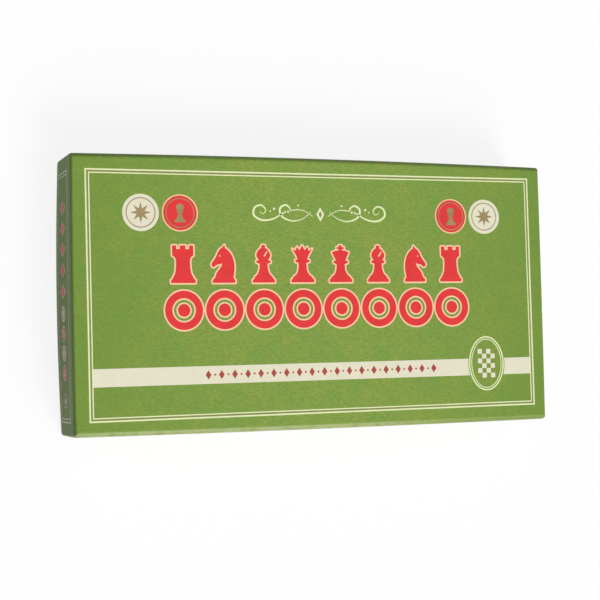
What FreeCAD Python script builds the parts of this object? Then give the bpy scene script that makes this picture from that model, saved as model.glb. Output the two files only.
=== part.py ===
import FreeCAD, Part
import os
from enum import IntEnum

import Sketcher
from FreeCAD import Vector

# A chess and draughts set in a telescoping box: lid, tray, divided insert,
# folding board, rules leaflet and 32 turned discs. The closed box lies flat,
# X along its length, Y across it, Z up, with the table at Z = 0.

# Driving sizes in millimetres: alias, value, meaning.
SIZES = (
    ("square", 42.0, "side of one playing square"),
    ("border", 12.0, "plain border round the squares"),
    ("core", 2.0, "grey board inside one board leaf"),
    ("paper", 0.25, "any glued sheet of paper or cloth"),
    ("play_margin", 3.0, "turned-in paper that shows round a playing sheet"),
    ("cloth_half", 5.0, "hinge cloth on each side of the fold"),
    ("fold_gap", 0.2, "edge of a board leaf short of the fold"),
    ("greyboard", 1.75, "grey board of lid and tray"),
    ("end_room", 2.9, "tray beyond the folded board at each end"),
    ("side_room", 2.4, "tray beyond the folded board at each side"),
    ("lid_gap", 0.6, "slip between lid and tray on each side"),
    ("rim_height", 1.0, "lid rim above the table"),
    ("rim_drop", 0.5, "tray rim below the board"),
    ("turn_in", 15.0, "wrap folded over a rim to the inside"),
    ("fold_radius", 2.2, "outside radius of the lid's folds"),
    ("tray_radius", 1.2, "outside radius of the tray's upright corners"),
    ("riser_height", 25.25, "closed carton under the dividers"),
    ("card", 1.2, "folding card of carton and dividers"),
    ("insert_gap", 0.4, "carton and dividers short of the tray wall"),
    ("slot_gap", 0.15, "play of a divider slot on each side and at its end"),
    ("disc_diameter", 34.0, "turned disc"),
    ("disc_height", 9.5, "turned disc"),
    ("disc_room", 2.0, "free height above a disc in its cell"),
    ("disc_bevel", 0.9, "broken edge of a disc"),
    ("groove_depth", 0.5, "turned ring grooves of a disc"),
    ("groove_width", 1.1, "turned ring grooves of a disc"),
    ("leaflet_length", 210.0, "rules leaflet along its fold"),
    ("leaflet_width", 148.0, "rules leaflet across its fold"),
    ("leaflet_sheet", 0.2, "one half of the rules leaflet"),
    ("leaflet_slit", 0.1, "air between the leaflet's halves"),
    ("leaflet_room", 0.25, "air between leaflet and lid lining"),
    ("overrun", 2.0, "how far a cutting block stands beyond what it cuts"),
)

# Counts and proportions.
COLUMNS = 8
LEAF_ROWS = 4
FACE_RING_SHARE = 0.84
BACK_RING_SHARES = (0.45, 0.72)
SLOT_SHARE = 0.5

# Rounding allowed when levels and volumes are compared.
TOLERANCE = 1e-6

# The pieces of one side, from the a-file to the h-file.
BACK_RANK = ("rook", "knight", "bishop", "queen", "king", "bishop", "knight", "rook")
PAWNS = ("pawn",) * COLUMNS
FILES = "abcdefgh"


class Spot(IntEnum):
    """How a sketch numbers the points of an edge."""

    START = 1
    END = 2
    CENTRE = 3


class Axis(IntEnum):
    """How a sketch numbers its own axes."""

    LEVEL = -1
    UPRIGHT = -2


os.makedirs("parts", exist_ok=True)
doc = FreeCAD.newDocument("game_box")
sheet = doc.addObject("Spreadsheet::Sheet", "dims")
for row, (alias, value, meaning) in enumerate(SIZES, start=1):
    sheet.set(f"A{row}", meaning)
    sheet.set(f"B{row}", str(value))
    sheet.setAlias(f"B{row}", alias)
doc.recompute()

nodes = []


def number(expression):
    """Return the value that an expression on the sheet has now."""
    return float(sheet.evalExpression(expression))


def place(item, x="0", y="0", z="0"):
    """Bind an object's position to expressions on the sheet."""
    for axis, expression in zip("xyz", (x, y, z)):
        item.setExpression(f"Placement.Base.{axis}", expression)


def node(item):
    """Enter an object as a sub-part with a file of its own."""
    item.Label = item.Name
    nodes.append(item)
    return item


def block(name, length, width, height, bottom, x="0", y="0"):
    """Make a box centred on x and y that stands on the level bottom."""
    box = doc.addObject("Part::Box", name)
    box.setExpression("Length", length)
    box.setExpression("Width", width)
    box.setExpression("Height", height)
    place(box, f"{x} - {length} / 2", f"{y} - {width} / 2", bottom)
    return box


def cut(name, base, *tools):
    """Cut one or more objects out of another."""
    tool = tools[0]
    if len(tools) > 1:
        tool = doc.addObject("Part::MultiFuse", f"{name}_void")
        tool.Shapes = list(tools)
    result = doc.addObject("Part::Cut", name)
    result.Base = base
    result.Tool = tool
    return result


def panels(name, blank, hollow, plate, walls):
    """Part a scored blank into its plate and four walls, which meet at the scores.

    hollow is the length and width between the walls. plate and walls are
    each a bottom level and a height. The long walls take the corners.
    """
    depth = "(dims.greyboard + dims.overrun)"
    whole = f"({hollow[0]} + 2 * {depth})", f"({hollow[1]} + 2 * {depth})"
    regions = [block(f"{name}_plate_region", *whole, plate[1], plate[0])]
    for side, sign in (("front", -1), ("back", 1)):
        middle = f"{sign} * ({hollow[1]} + {depth}) / 2"
        regions.append(
            block(f"{name}_{side}_region", whole[0], depth, walls[1], walls[0], y=middle)
        )
    for side, sign in (("left", -1), ("right", 1)):
        middle = f"{sign} * ({hollow[0]} + {depth}) / 2"
        regions.append(
            block(f"{name}_{side}_region", depth, hollow[1], walls[1], walls[0], x=middle)
        )
    shell = doc.addObject("Part::Compound", name)
    parts = []
    for region in regions:
        panel = doc.addObject("Part::Common", region.Name.replace("region", "panel"))
        panel.Base = blank
        panel.Tool = region
        parts.append(panel)
    shell.Links = parts
    return shell


def outline(body, name, role, corners, arcs=None):
    """Draw a closed outline on an origin plane of a body.

    Each corner is a pair of expressions, taken anticlockwise. An entry of
    arcs, keyed by the corner that an arc starts from, gives its centre.
    """
    sketch = body.newObject("Sketcher::SketchObject", name)
    plane = next(item for item in body.Origin.OriginFeatures if item.Role == role)
    sketch.AttachmentSupport = [(plane, "")]
    sketch.MapMode = "FlatFace"
    points = [Vector(number(x), number(y), 0) for x, y in corners]
    arcs = arcs or {}
    for index, start in enumerate(points):
        end = points[(index + 1) % len(points)]
        edge = Part.LineSegment(start, end)
        if index in arcs:
            centre = Vector(*map(number, arcs[index]), 0)
            circle = Part.Circle(centre, Vector(0, 0, 1), (start - centre).Length)
            edge = Part.ArcOfCircle(circle, circle.parameter(start), circle.parameter(end))
        sketch.addGeometry(edge)
    for index, corner in enumerate(corners):
        after = (index + 1) % len(points)
        sketch.addConstraint(
            Sketcher.Constraint("Coincident", index, Spot.END, after, Spot.START)
        )
        bind_point(sketch, index, Spot.START, corner)
    for index, (centre_x, _) in arcs.items():
        bind_point(sketch, index, Spot.CENTRE, (centre_x, None))
    return sketch


def bind_point(sketch, edge, end, corner):
    """Tie a point of a sketch to its pair of expressions."""
    ways = (("DistanceX", Axis.UPRIGHT), ("DistanceY", Axis.LEVEL))
    for (kind, axis), expression in zip(ways, corner):
        if expression is None:
            continue
        if expression == "0":
            sketch.addConstraint(Sketcher.Constraint("PointOnObject", edge, end, axis))
            continue
        name = f"{kind}_{edge}_{end.name}"
        rule = Sketcher.Constraint(kind, Axis.LEVEL, Spot.START, edge, end, number(expression))
        sketch.renameConstraint(sketch.addConstraint(rule), name)
        sketch.setExpression(f"Constraints.{name}", expression)


def rectangle(length, width, x="0", y="0"):
    """Return the corners of a rectangle centred on x and y."""
    return [
        (f"{x} + {sign_x} * {length} / 2", f"{y} + {sign_y} * {width} / 2")
        for sign_x, sign_y in ((-1, -1), (1, -1), (1, 1), (-1, 1))
    ]


def pad(body, sketch, length, midplane=False):
    """Extrude a sketch, away from its plane or equally to both sides."""
    feature = body.newObject("PartDesign::Pad", f"{body.Name}_pad")
    feature.Profile = sketch
    feature.setExpression("Length", length)
    feature.Midplane = midplane
    return feature


def rounded_block(name, length, width, height, bottom, radius, round_top):
    """Make a block with rounded upright edges and, if asked, rounded top edges."""
    body = doc.addObject("PartDesign::Body", name)
    sketch = outline(body, f"{name}_plan", "XY_Plane", rectangle(length, width))
    solid = pad(body, sketch, height)
    doc.recompute()
    top = solid.Shape.BoundBox.ZMax
    chosen = []
    for index, edge in enumerate(solid.Shape.Edges, start=1):
        low, high = sorted(vertex.Z for vertex in edge.Vertexes)
        upright = high - low > edge.Length / 2
        if upright or (round_top and abs(low - top) < TOLERANCE):
            chosen.append(f"Edge{index}")
    fillet = body.newObject("PartDesign::Fillet", f"{name}_fillet")
    fillet.Base = (solid, chosen)
    fillet.setExpression("Radius", radius)
    body.Tip = fillet
    place(body, z=bottom)
    return body


# Lengths that follow from the sheet, as expressions.
leaf_length = f"({COLUMNS} * dims.square + 2 * dims.border)"
leaf_width = f"({LEAF_ROWS} * dims.square + dims.border + dims.cloth_half)"
leaf_height = "(dims.core + 2 * dims.paper)"
wall = "(dims.greyboard + 2 * dims.paper)"
inner_length = f"({leaf_length} + 2 * dims.end_room)"
inner_width = f"({leaf_width} + 2 * dims.side_room)"
tray_length = f"({inner_length} + 2 * {wall})"
tray_width = f"({inner_width} + 2 * {wall})"
lid_length = f"({tray_length} + 2 * dims.lid_gap + 2 * {wall})"
lid_width = f"({tray_width} + 2 * dims.lid_gap + 2 * {wall})"

# Levels, from the table up.
tray_floor = "(dims.paper + dims.greyboard + dims.paper)"
cell_floor = f"({tray_floor} + dims.riser_height)"
divider_height = "(dims.disc_height + dims.disc_room)"
board_level = f"({cell_floor} + {divider_height})"
fold_level = f"({board_level} + {leaf_height})"
leaflet_level = f"({fold_level} + {leaf_height})"
leaflet_height = "(2 * dims.leaflet_sheet + dims.leaflet_slit)"
lid_ceiling = f"({leaflet_level} + {leaflet_height} + dims.leaflet_room)"
lid_top = f"({lid_ceiling} + {wall})"
tray_rim = f"({board_level} - dims.rim_drop)"

# Insert plan.
insert_length = f"({inner_length} - 2 * dims.insert_gap)"
insert_width = f"({inner_width} - 2 * dims.insert_gap)"
column_pitch = f"({inner_length} / {COLUMNS})"
row_pitch = f"({inner_width} / {LEAF_ROWS})"

# Lid: a grey board shell, the printed wrap turned in over its rim, a lining.
board_length = f"({lid_length} - 2 * dims.paper)"
board_width = f"({lid_width} - 2 * dims.paper)"
hollow_length = f"({board_length} - 2 * dims.greyboard)"
hollow_width = f"({board_width} - 2 * dims.greyboard)"
board_rim = "(dims.rim_height + dims.paper)"
board_top = f"({lid_top} - dims.paper)"
hollow_top = f"({board_top} - dims.greyboard)"
lid_turn_top = "(dims.rim_height + dims.turn_in)"

lid_form = rounded_block(
    "lid_form", board_length, board_width, f"({board_top} - {board_rim})",
    board_rim, "dims.fold_radius - dims.paper", round_top=True,
)
lid_hollow = block(
    "lid_hollow", hollow_length, hollow_width, f"({hollow_top} - {board_rim} + dims.overrun)",
    f"({board_rim} - dims.overrun)",
)
lid_blank = cut("lid_blank", lid_form, lid_hollow)
node(panels(
    "lid_shell", lid_blank, (hollow_length, hollow_width),
    plate=(hollow_top, "(dims.greyboard + dims.overrun)"),
    walls=(f"({board_rim} - dims.overrun)", f"({hollow_top} - {board_rim} + dims.overrun)"),
))
wrap_form = rounded_block(
    "wrap_form", lid_length, lid_width, f"({lid_top} - dims.rim_height)",
    "dims.rim_height", "dims.fold_radius", round_top=True,
)
wrap_hollow = block(
    "wrap_hollow", hollow_length, hollow_width, f"({hollow_top} - {lid_turn_top})", lid_turn_top,
)
wrap_mouth = block(
    "wrap_mouth", f"({hollow_length} - 2 * dims.paper)", f"({hollow_width} - 2 * dims.paper)",
    "(dims.turn_in + 2 * dims.overrun)", "(dims.rim_height - dims.overrun)",
)
node(cut("lid_wrap", wrap_form, lid_blank, wrap_hollow, wrap_mouth))
node(block(
    "lid_lining", f"({hollow_length} - 2 * dims.paper)", f"({hollow_width} - 2 * dims.paper)",
    "dims.paper", lid_ceiling,
))

# Tray: a grey board shell, its wrap turned in over the rim, base sheet and floor lining.
shell_length = f"({tray_length} - 2 * dims.paper)"
shell_width = f"({tray_width} - 2 * dims.paper)"
well_length = f"({shell_length} - 2 * dims.greyboard)"
well_width = f"({shell_width} - 2 * dims.greyboard)"
shell_rim = f"({tray_rim} - dims.paper)"
well_floor = "(dims.paper + dims.greyboard)"
tray_turn_low = f"({tray_rim} - dims.turn_in)"

tray_form = rounded_block(
    "tray_form", shell_length, shell_width, f"({shell_rim} - dims.paper)",
    "dims.paper", "dims.tray_radius - dims.paper", round_top=False,
)
tray_well = block(
    "tray_well", well_length, well_width, f"({shell_rim} - {well_floor} + dims.overrun)",
    well_floor,
)
tray_blank = cut("tray_blank", tray_form, tray_well)
node(panels(
    "tray_shell", tray_blank, (well_length, well_width),
    plate=(f"({well_floor} - dims.greyboard - dims.overrun)", "(dims.greyboard + dims.overrun)"),
    walls=(well_floor, f"({shell_rim} - {well_floor} + dims.overrun)"),
))
sleeve_form = rounded_block(
    "sleeve_form", tray_length, tray_width, f"({tray_rim} - dims.paper)",
    "dims.paper", "dims.tray_radius", round_top=False,
)
sleeve_well = block(
    "sleeve_well", well_length, well_width, f"({tray_turn_low} - {well_floor})", well_floor,
)
sleeve_mouth = block(
    "sleeve_mouth", inner_length, inner_width, "(dims.turn_in + 2 * dims.overrun)",
    f"({tray_turn_low} - dims.overrun)",
)
node(cut("tray_wrap", sleeve_form, tray_blank, sleeve_well, sleeve_mouth))
node(rounded_block(
    "tray_base_sheet", tray_length, tray_width, "dims.paper",
    "0", "dims.tray_radius", round_top=False,
))
node(block("tray_floor_lining", inner_length, inner_width, "dims.paper", well_floor))

# Insert: a closed hollow carton, with slotted card dividers standing on it.
carton_form = block("carton_form", insert_length, insert_width, "dims.riser_height", tray_floor)
carton_void = block(
    "carton_void", f"({insert_length} - 2 * dims.card)", f"({insert_width} - 2 * dims.card)",
    "(dims.riser_height - 2 * dims.card)", f"({tray_floor} + dims.card)",
)
node(cut("insert_carton", carton_form, carton_void))


def divider(name, role, length, slots, pitch, slot_at_top, x="0", y="0"):
    """Make a card strip with half-depth slots for the strips that cross it."""
    body = doc.addObject("PartDesign::Body", name)
    strip = outline(
        body, f"{name}_side", role, rectangle(length, divider_height, y=f"{divider_height} / 2"),
    )
    solid = pad(body, strip, "dims.card", midplane=True)
    slot_width = "(dims.card + 2 * dims.slot_gap)"
    depth = f"({divider_height} * {SLOT_SHARE} + dims.slot_gap + dims.overrun)"
    middle = f"({depth} / 2 - dims.overrun)"
    if slot_at_top:
        middle = f"({divider_height} - {middle})"
    first = f"(-({slots} - 1) / 2 * {pitch})"
    gap = outline(body, f"{name}_gap", role, rectangle(slot_width, depth, x=first, y=middle))
    slot = body.newObject("PartDesign::Pocket", f"{name}_slot")
    slot.Profile = gap
    slot.setExpression("Length", "dims.card + 2 * dims.overrun")
    slot.Midplane = True
    row = body.newObject("PartDesign::LinearPattern", f"{name}_slots")
    row.Originals = [slot]
    row.Direction = (gap, ["H_Axis"])
    row.Occurrences = slots
    row.setExpression("Length", f"({slots} - 1) * {pitch}")
    body.Tip = row
    place(body, x, y, cell_floor)
    doc.recompute()
    removed = solid.Shape.Volume - body.Shape.Volume
    wanted = slots * number(f"({depth} - dims.overrun) * {slot_width} * dims.card")
    if abs(removed - wanted) > wanted * TOLERANCE:
        raise RuntimeError(f"{name}: the slots took {removed}, not {wanted}")
    return body


for index in range(1, LEAF_ROWS):
    node(divider(
        f"long_divider_{index}", "XZ_Plane", insert_length, COLUMNS - 1, column_pitch,
        slot_at_top=True, y=f"({index} - {LEAF_ROWS} / 2) * {row_pitch}",
    ))
for index in range(1, COLUMNS):
    node(divider(
        f"cross_divider_{index}", "YZ_Plane", insert_width, LEAF_ROWS - 1, row_pitch,
        slot_at_top=False, x=f"({index} - {COLUMNS} / 2) * {column_pitch}",
    ))

# Board: two leaves with the playing faces together, hinged by cloth at the front edge.
face_length = f"({leaf_length} - 2 * dims.play_margin)"
fold_line = f"(-{leaf_width} / 2)"
face_back = f"({leaf_width} / 2 - dims.play_margin)"
leaf_depth = f"({leaf_width} - dims.fold_gap)"
leaf_middle = "(dims.fold_gap / 2)"


def strip_of_face(name, start, end, height, bottom):
    """Make a sheet on a playing face between two distances across the leaf."""
    return block(
        name, face_length, f"({end} - {start})", height, bottom, y=f"({start} + {end}) / 2",
    )


for side, level, face_level in (
    ("lower", board_level, f"({fold_level} - dims.paper)"),
    ("upper", fold_level, fold_level),
):
    leaf_core = node(block(
        f"{side}_leaf_core", f"({leaf_length} - 2 * dims.paper)", f"({leaf_depth} - 2 * dims.paper)",
        "dims.core", f"({level} + dims.paper)", y=leaf_middle,
    ))
    leaf_form = block(
        f"{side}_leaf_form", leaf_length, leaf_depth, leaf_height, level, y=leaf_middle,
    )
    face_recess = strip_of_face(
        f"{side}_face_recess", f"({fold_line} - dims.overrun)", face_back, "dims.paper", face_level,
    )
    node(cut(f"{side}_leaf_wrap", leaf_form, leaf_core, face_recess))
    node(strip_of_face(
        f"{side}_play_sheet", f"({fold_line} + dims.cloth_half)", face_back, "dims.paper", face_level,
    ))

# Hinge cloth: folded flat on itself, round at the fold.
cloth = doc.addObject("PartDesign::Body", "hinge_cloth")
cloth_profile = outline(
    cloth, "hinge_cloth_profile", "YZ_Plane",
    [
        ("dims.cloth_half", "-dims.paper"),
        ("dims.cloth_half", "dims.paper"),
        ("0", "dims.paper"),
        ("0", "-dims.paper"),
    ],
    arcs={2: ("0", "0")},
)
pad(cloth, cloth_profile, face_length, midplane=True)
place(cloth, y=fold_line, z=fold_level)
node(cloth)

# Rules leaflet: one sheet folded once, lying on the board.
leaflet = doc.addObject("PartDesign::Body", "rules_leaflet")
leaflet_reach = f"(dims.leaflet_width - {leaflet_height} / 2)"
slit_top = "(dims.leaflet_sheet + dims.leaflet_slit)"
leaflet_profile = outline(
    leaflet, "rules_leaflet_profile", "YZ_Plane",
    [
        (leaflet_reach, "0"),
        (leaflet_reach, "dims.leaflet_sheet"),
        ("0", "dims.leaflet_sheet"),
        ("0", slit_top),
        (leaflet_reach, slit_top),
        (leaflet_reach, leaflet_height),
        ("0", leaflet_height),
        ("0", "0"),
    ],
    arcs={6: ("0", f"{leaflet_height} / 2")},
)
pad(leaflet, leaflet_profile, "dims.leaflet_length", midplane=True)
place(leaflet, y=f"({leaflet_height} - dims.leaflet_width) / 2", z=leaflet_level)
node(leaflet)

# Discs: one turned profile, ringed on both faces, a disc to each cell.
disc_radius = "(dims.disc_diameter / 2)"


def groove(share, level, floor):
    """Return the four profile corners of a ring groove, from the axis outwards."""
    inside = f"({disc_radius} * {share})"
    outside = f"({inside} + dims.groove_width)"
    return [(inside, level), (inside, floor), (outside, floor), (outside, level)]


def disc(name, x, y):
    """Turn one disc and stand it in the middle of its cell."""
    body = doc.addObject("PartDesign::Body", name)
    rim = f"({disc_radius} - dims.disc_bevel)"
    profile = [("0", "0")]
    for share in BACK_RING_SHARES:
        profile += groove(share, "0", "dims.groove_depth")
    profile += [
        (rim, "0"),
        (disc_radius, "dims.disc_bevel"),
        (disc_radius, "(dims.disc_height - dims.disc_bevel)"),
        (rim, "dims.disc_height"),
    ]
    face_floor = "(dims.disc_height - dims.groove_depth)"
    profile += reversed(groove(FACE_RING_SHARE, "dims.disc_height", face_floor))
    profile += [("0", "dims.disc_height")]
    section = outline(body, f"{name}_section", "XZ_Plane", profile)
    turned = body.newObject("PartDesign::Revolution", f"{name}_turned")
    turned.Profile = section
    turned.ReferenceAxis = (section, ["V_Axis"])
    place(body, x, y, cell_floor)
    return body


rows = (("cream", BACK_RANK), ("cream", PAWNS), ("red", PAWNS), ("red", BACK_RANK))
for rank, (colour, kinds) in enumerate(rows):
    y = f"({rank} - ({LEAF_ROWS} - 1) / 2) * {row_pitch}"
    for column, (kind, letter) in enumerate(zip(kinds, FILES)):
        x = f"({column} - ({COLUMNS} - 1) / 2) * {column_pitch}"
        node(disc(f"{colour}_{kind}_{letter}", x, y))

# Check everything, then write one file for each sub-part.
doc.recompute()
for item in doc.Objects:
    if {"Invalid", "Error"} & set(item.State):
        raise RuntimeError(f"{item.Name}: {item.State}")
for item in nodes:
    if item.Shape.isNull() or not item.Shape.isValid() or not item.Shape.Solids:
        raise RuntimeError(f"{item.Label}: no sound solid")
for item in nodes:
    item.Shape.exportStep(f"parts/{item.Label}.step")
print(f"{len(nodes)} sub-parts written")
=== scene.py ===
"""Looks of a boxed chess and draughts set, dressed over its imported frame.

Sizes are written in millimetres, and become the frame's metres where a mesh is made.
"""

import logging
import math
from dataclasses import dataclass, field
from enum import Enum
from typing import Any, Callable, Iterable, Sequence

import bmesh
import bpy
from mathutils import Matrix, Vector
from mathutils.geometry import delaunay_2d_cdt


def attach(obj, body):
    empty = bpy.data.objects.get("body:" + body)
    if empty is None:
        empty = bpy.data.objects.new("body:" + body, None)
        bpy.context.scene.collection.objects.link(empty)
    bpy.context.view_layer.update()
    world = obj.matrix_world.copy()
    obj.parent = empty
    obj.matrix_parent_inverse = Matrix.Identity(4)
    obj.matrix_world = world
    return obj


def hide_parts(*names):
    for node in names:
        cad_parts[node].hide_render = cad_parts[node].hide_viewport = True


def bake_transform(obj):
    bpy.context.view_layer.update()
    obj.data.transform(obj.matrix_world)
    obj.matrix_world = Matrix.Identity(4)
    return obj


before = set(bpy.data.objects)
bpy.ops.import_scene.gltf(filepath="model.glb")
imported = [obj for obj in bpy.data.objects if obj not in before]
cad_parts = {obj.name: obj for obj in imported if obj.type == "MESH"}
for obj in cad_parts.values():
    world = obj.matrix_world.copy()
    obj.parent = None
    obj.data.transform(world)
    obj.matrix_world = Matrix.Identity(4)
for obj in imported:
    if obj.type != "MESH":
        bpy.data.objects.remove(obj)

MM = 0.001
LOG = logging.getLogger("game_box")

Colour = tuple[float, float, float, float]
Point = tuple[float, float]
Span = tuple[float, float]
Triple = tuple[float, float, float]
Loop = list[Point]
Knot = tuple[float, float, int]
Place = Callable[[float, float, float], Vector]

WHITE: Colour = (1.0, 1.0, 1.0, 1.0)


def tone(red: int, green: int, blue: int) -> Colour:
    """Turn a display colour into the linear colour that the shaders take.

    Args:
        red: Display value from 0 to 255.
        green: Display value from 0 to 255.
        blue: Display value from 0 to 255.

    Returns:
        The linear colour with full opacity.
    """
    shares = [value / 255 for value in (red, green, blue)]
    linear = [s / 12.92 if s <= 0.04045 else ((s + 0.055) / 1.055) ** 2.4 for s in shares]
    return (*linear, 1.0)


def evenly(start: float, end: float, steps: int) -> list[float]:
    """Return evenly spaced values, both ends among them."""
    return [start + (end - start) * step / steps for step in range(steps + 1)]


def shaded(colour: Colour, factor: float) -> Colour:
    """Return a colour, lighter or darker."""
    return (*(min(1.0, part * factor) for part in colour[:3]), 1.0)


# ---------------------------------------------------------------- node graphs


class Signal:
    """One node output, with the arithmetic that the graphs use."""

    def __init__(self, graph: "Graph", socket: bpy.types.NodeSocket) -> None:
        """Hold a socket and the graph that it belongs to."""
        self.graph = graph
        self.socket = socket

    def out(self, key: int | str) -> "Signal":
        """Return another output of the same node."""
        return Signal(self.graph, self.socket.node.outputs[key])

    def math(self, operation: str, left: Any, right: Any = 0.0) -> "Signal":
        """Add a Math node to the graph and return its result."""
        return self.graph.node("ShaderNodeMath", {"operation": operation}, {0: left, 1: right})

    def __add__(self, other: Any) -> "Signal":
        """Add a value on the right."""
        return self.math("ADD", self, other)

    def __radd__(self, other: Any) -> "Signal":
        """Add a value on the left."""
        return self.math("ADD", other, self)

    def __sub__(self, other: Any) -> "Signal":
        """Take a value away."""
        return self.math("SUBTRACT", self, other)

    def __rsub__(self, other: Any) -> "Signal":
        """Take this signal away from a value."""
        return self.math("SUBTRACT", other, self)

    def __mul__(self, other: Any) -> "Signal":
        """Multiply by a value on the right."""
        return self.math("MULTIPLY", self, other)

    def __rmul__(self, other: Any) -> "Signal":
        """Multiply by a value on the left."""
        return self.math("MULTIPLY", other, self)

    def __truediv__(self, other: Any) -> "Signal":
        """Divide by a value."""
        return self.math("DIVIDE", self, other)

    def __lt__(self, other: Any) -> "Signal":
        """Give 1 where this signal is below a value."""
        return self.math("LESS_THAN", self, other)

    def __gt__(self, other: Any) -> "Signal":
        """Give 1 where this signal is above a value."""
        return self.math("GREATER_THAN", self, other)

    def __abs__(self) -> "Signal":
        """Give the size of this signal."""
        return self.math("ABSOLUTE", self)

    def least(self, other: Any) -> "Signal":
        """Give the smaller of two values."""
        return self.math("MINIMUM", self, other)

    def most(self, other: Any) -> "Signal":
        """Give the larger of two values."""
        return self.math("MAXIMUM", self, other)

    def floor(self) -> "Signal":
        """Give the whole number below."""
        return self.math("FLOOR", self)

    def sine(self) -> "Signal":
        """Give the sine."""
        return self.math("SINE", self)

    def odd(self) -> "Signal":
        """Give 1 where this whole number is odd."""
        return (self - 2.0 * (self / 2.0).floor()) > 0.5

    def fade(self, start: float, end: float) -> "Signal":
        """Rise smoothly from 0 at start to 1 at end, or fall where start is higher.

        Args:
            start: Value at which the result is 0.
            end: Value at which the result is 1.

        Returns:
            The faded signal.
        """
        return self.graph.node(
            "ShaderNodeMapRange", {"interpolation_type": "SMOOTHSTEP", "clamp": True},
            {0: self, 1: start, 2: end, 3: 0.0, 4: 1.0},
        )


@dataclass(frozen=True)
class Grain:
    """A noise: size of a patch in millimetres, finer layers and shortening by axis."""

    size: float
    detail: float = 2.0
    stretch: Triple = (1.0, 1.0, 1.0)
    roughness: float = 0.55


class Graph:
    """A node tree that is written as expressions."""

    def __init__(self, tree: bpy.types.NodeTree) -> None:
        """Hold the tree that the nodes go into."""
        self.tree = tree

    def node(
        self, kind: str, settings: dict[str, Any] | None = None,
        sockets: dict[int | str, Any] | None = None,
    ) -> Signal:
        """Add one node.

        Args:
            kind: Type of the node.
            settings: Properties, set before the sockets.
            sockets: Values or signals by input name or number, a list for several links.

        Returns:
            The node's first output that is in use, or its first input if it has none.
        """
        made = self.tree.nodes.new(kind)
        for key, value in (settings or {}).items():
            setattr(made, key, value)
        for key, value in (sockets or {}).items():
            for item in value if isinstance(value, list) else [value]:
                if isinstance(item, Signal):
                    self.tree.links.new(item.socket, made.inputs[key])
                else:
                    made.inputs[key].default_value = item
        live = [socket for socket in made.outputs if socket.enabled]
        return Signal(self, (live or list(made.inputs))[0])

    def position(self) -> tuple[Signal, Signal, Signal]:
        """Return the place on the piece, in millimetres, as three signals."""
        parts = self.node("ShaderNodeSeparateXYZ", None, {0: self.place()})
        return tuple(parts.out(axis) * (1 / MM) for axis in "XYZ")

    def place(self) -> Signal:
        """Return the place on the piece as a vector."""
        return self.node("ShaderNodeTexCoord").out("Object")

    def grain(self, kind: Grain) -> Signal:
        """Return a noise about a half.

        Args:
            kind: Size and form of the noise.

        Returns:
            The noise as a signal.
        """
        stretched = self.node(
            "ShaderNodeMapping", None, {"Vector": self.place(), "Scale": kind.stretch}
        )
        return self.node("ShaderNodeTexNoise", None, {
            "Vector": stretched, "Scale": 1 / (kind.size * MM), "Detail": kind.detail,
            "Roughness": kind.roughness,
        })

    def mixed(self, factor: Any, first: Any, second: Any) -> Signal:
        """Return a mix of two colours.

        Args:
            factor: Share of the second colour.
            first: Colour at 0.
            second: Colour at 1.

        Returns:
            The mixed colour.
        """
        return self.node("ShaderNodeMix", {"data_type": "RGBA"}, {0: factor, 6: first, 7: second})


def fresh_graph(owner: bpy.types.Material | bpy.types.World) -> Graph:
    """Return an empty graph for a material or a world.

    Args:
        owner: Material or world that gets nodes.

    Returns:
        Its graph.
    """
    owner.use_nodes = True
    owner.node_tree.nodes.clear()
    return Graph(owner.node_tree)


@dataclass(frozen=True)
class Patches:
    """Patches that show where a noise passes through a span."""

    grain: Grain
    span: Span

    def on(self, graph: Graph) -> Signal:
        """Return the patches, from 0 to 1."""
        return graph.grain(self.grain).fade(*self.span)


# ------------------------------------------------------------------- finishes

CLOUDED: Span = (0.3, 0.7)


@dataclass(frozen=True)
class Finish:
    """A surface: its colour and gloss, how far each swings, its relief and its coat.

    In the kinds of finish below, a span, reach, run or drop is the pair of values between
    which an effect comes in. A share is how much of it shows, a shade is its colour as a
    multiple of the finish's own, and a relief is its part in the height.
    """

    name: str
    slot: str
    colour: Colour
    roughness: float = 0.5
    specular: float = 0.35
    cloud: float = 0.06
    gloss_swing: float = 0.1
    depth: float = 0.015
    coat: float = 0.0
    coat_roughness: float = 0.25

    def material(self) -> bpy.types.Material:
        """Return this finish as a material, made on first use.

        Returns:
            The material.
        """
        found = bpy.data.materials.get(self.name)
        if found is None:
            found = bpy.data.materials.new(self.name)
            graph = fresh_graph(found)
            graph.node("ShaderNodeOutputMaterial", None, {"Surface": self.mix(graph)})
        return found

    def mix(self, graph: Graph) -> Signal:
        """Build the shader; each kind of finish does it in its own way."""
        raise NotImplementedError

    def shade(self, factor: float) -> Colour:
        """Return the finish's colour, lighter or darker."""
        return shaded(self.colour, factor)

    def clouded(self, graph: Graph, factor: Signal) -> Signal:
        """Return the finish's colour, swung from dark to light by a signal."""
        return graph.mixed(factor, self.shade(1 - self.cloud), self.shade(1 + self.cloud))

    def gloss(self, noise: Signal) -> Signal:
        """Return the finish's roughness, swung about its middle by a noise."""
        return self.roughness + self.gloss_swing * (noise - 0.5)

    def surface(self, graph: Graph, colour: Any, roughness: Any, height: Signal) -> Signal:
        """Join colour, gloss and relief in one shader.

        Args:
            graph: Graph of the material.
            colour: Colour signal.
            roughness: Roughness signal or number.
            height: Relief from 0 to 1, which is as deep as the finish's depth.

        Returns:
            The shader.
        """
        normal = graph.node("ShaderNodeBump", None, {
            "Strength": 1.0, "Distance": self.depth * MM, "Height": height,
        })
        return graph.node("ShaderNodeBsdfPrincipled", None, {
            "Base Color": colour, "Roughness": roughness, "Normal": normal,
            "Specular IOR Level": self.specular, "Coat Weight": self.coat,
            "Coat Roughness": self.coat_roughness,
        })


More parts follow.
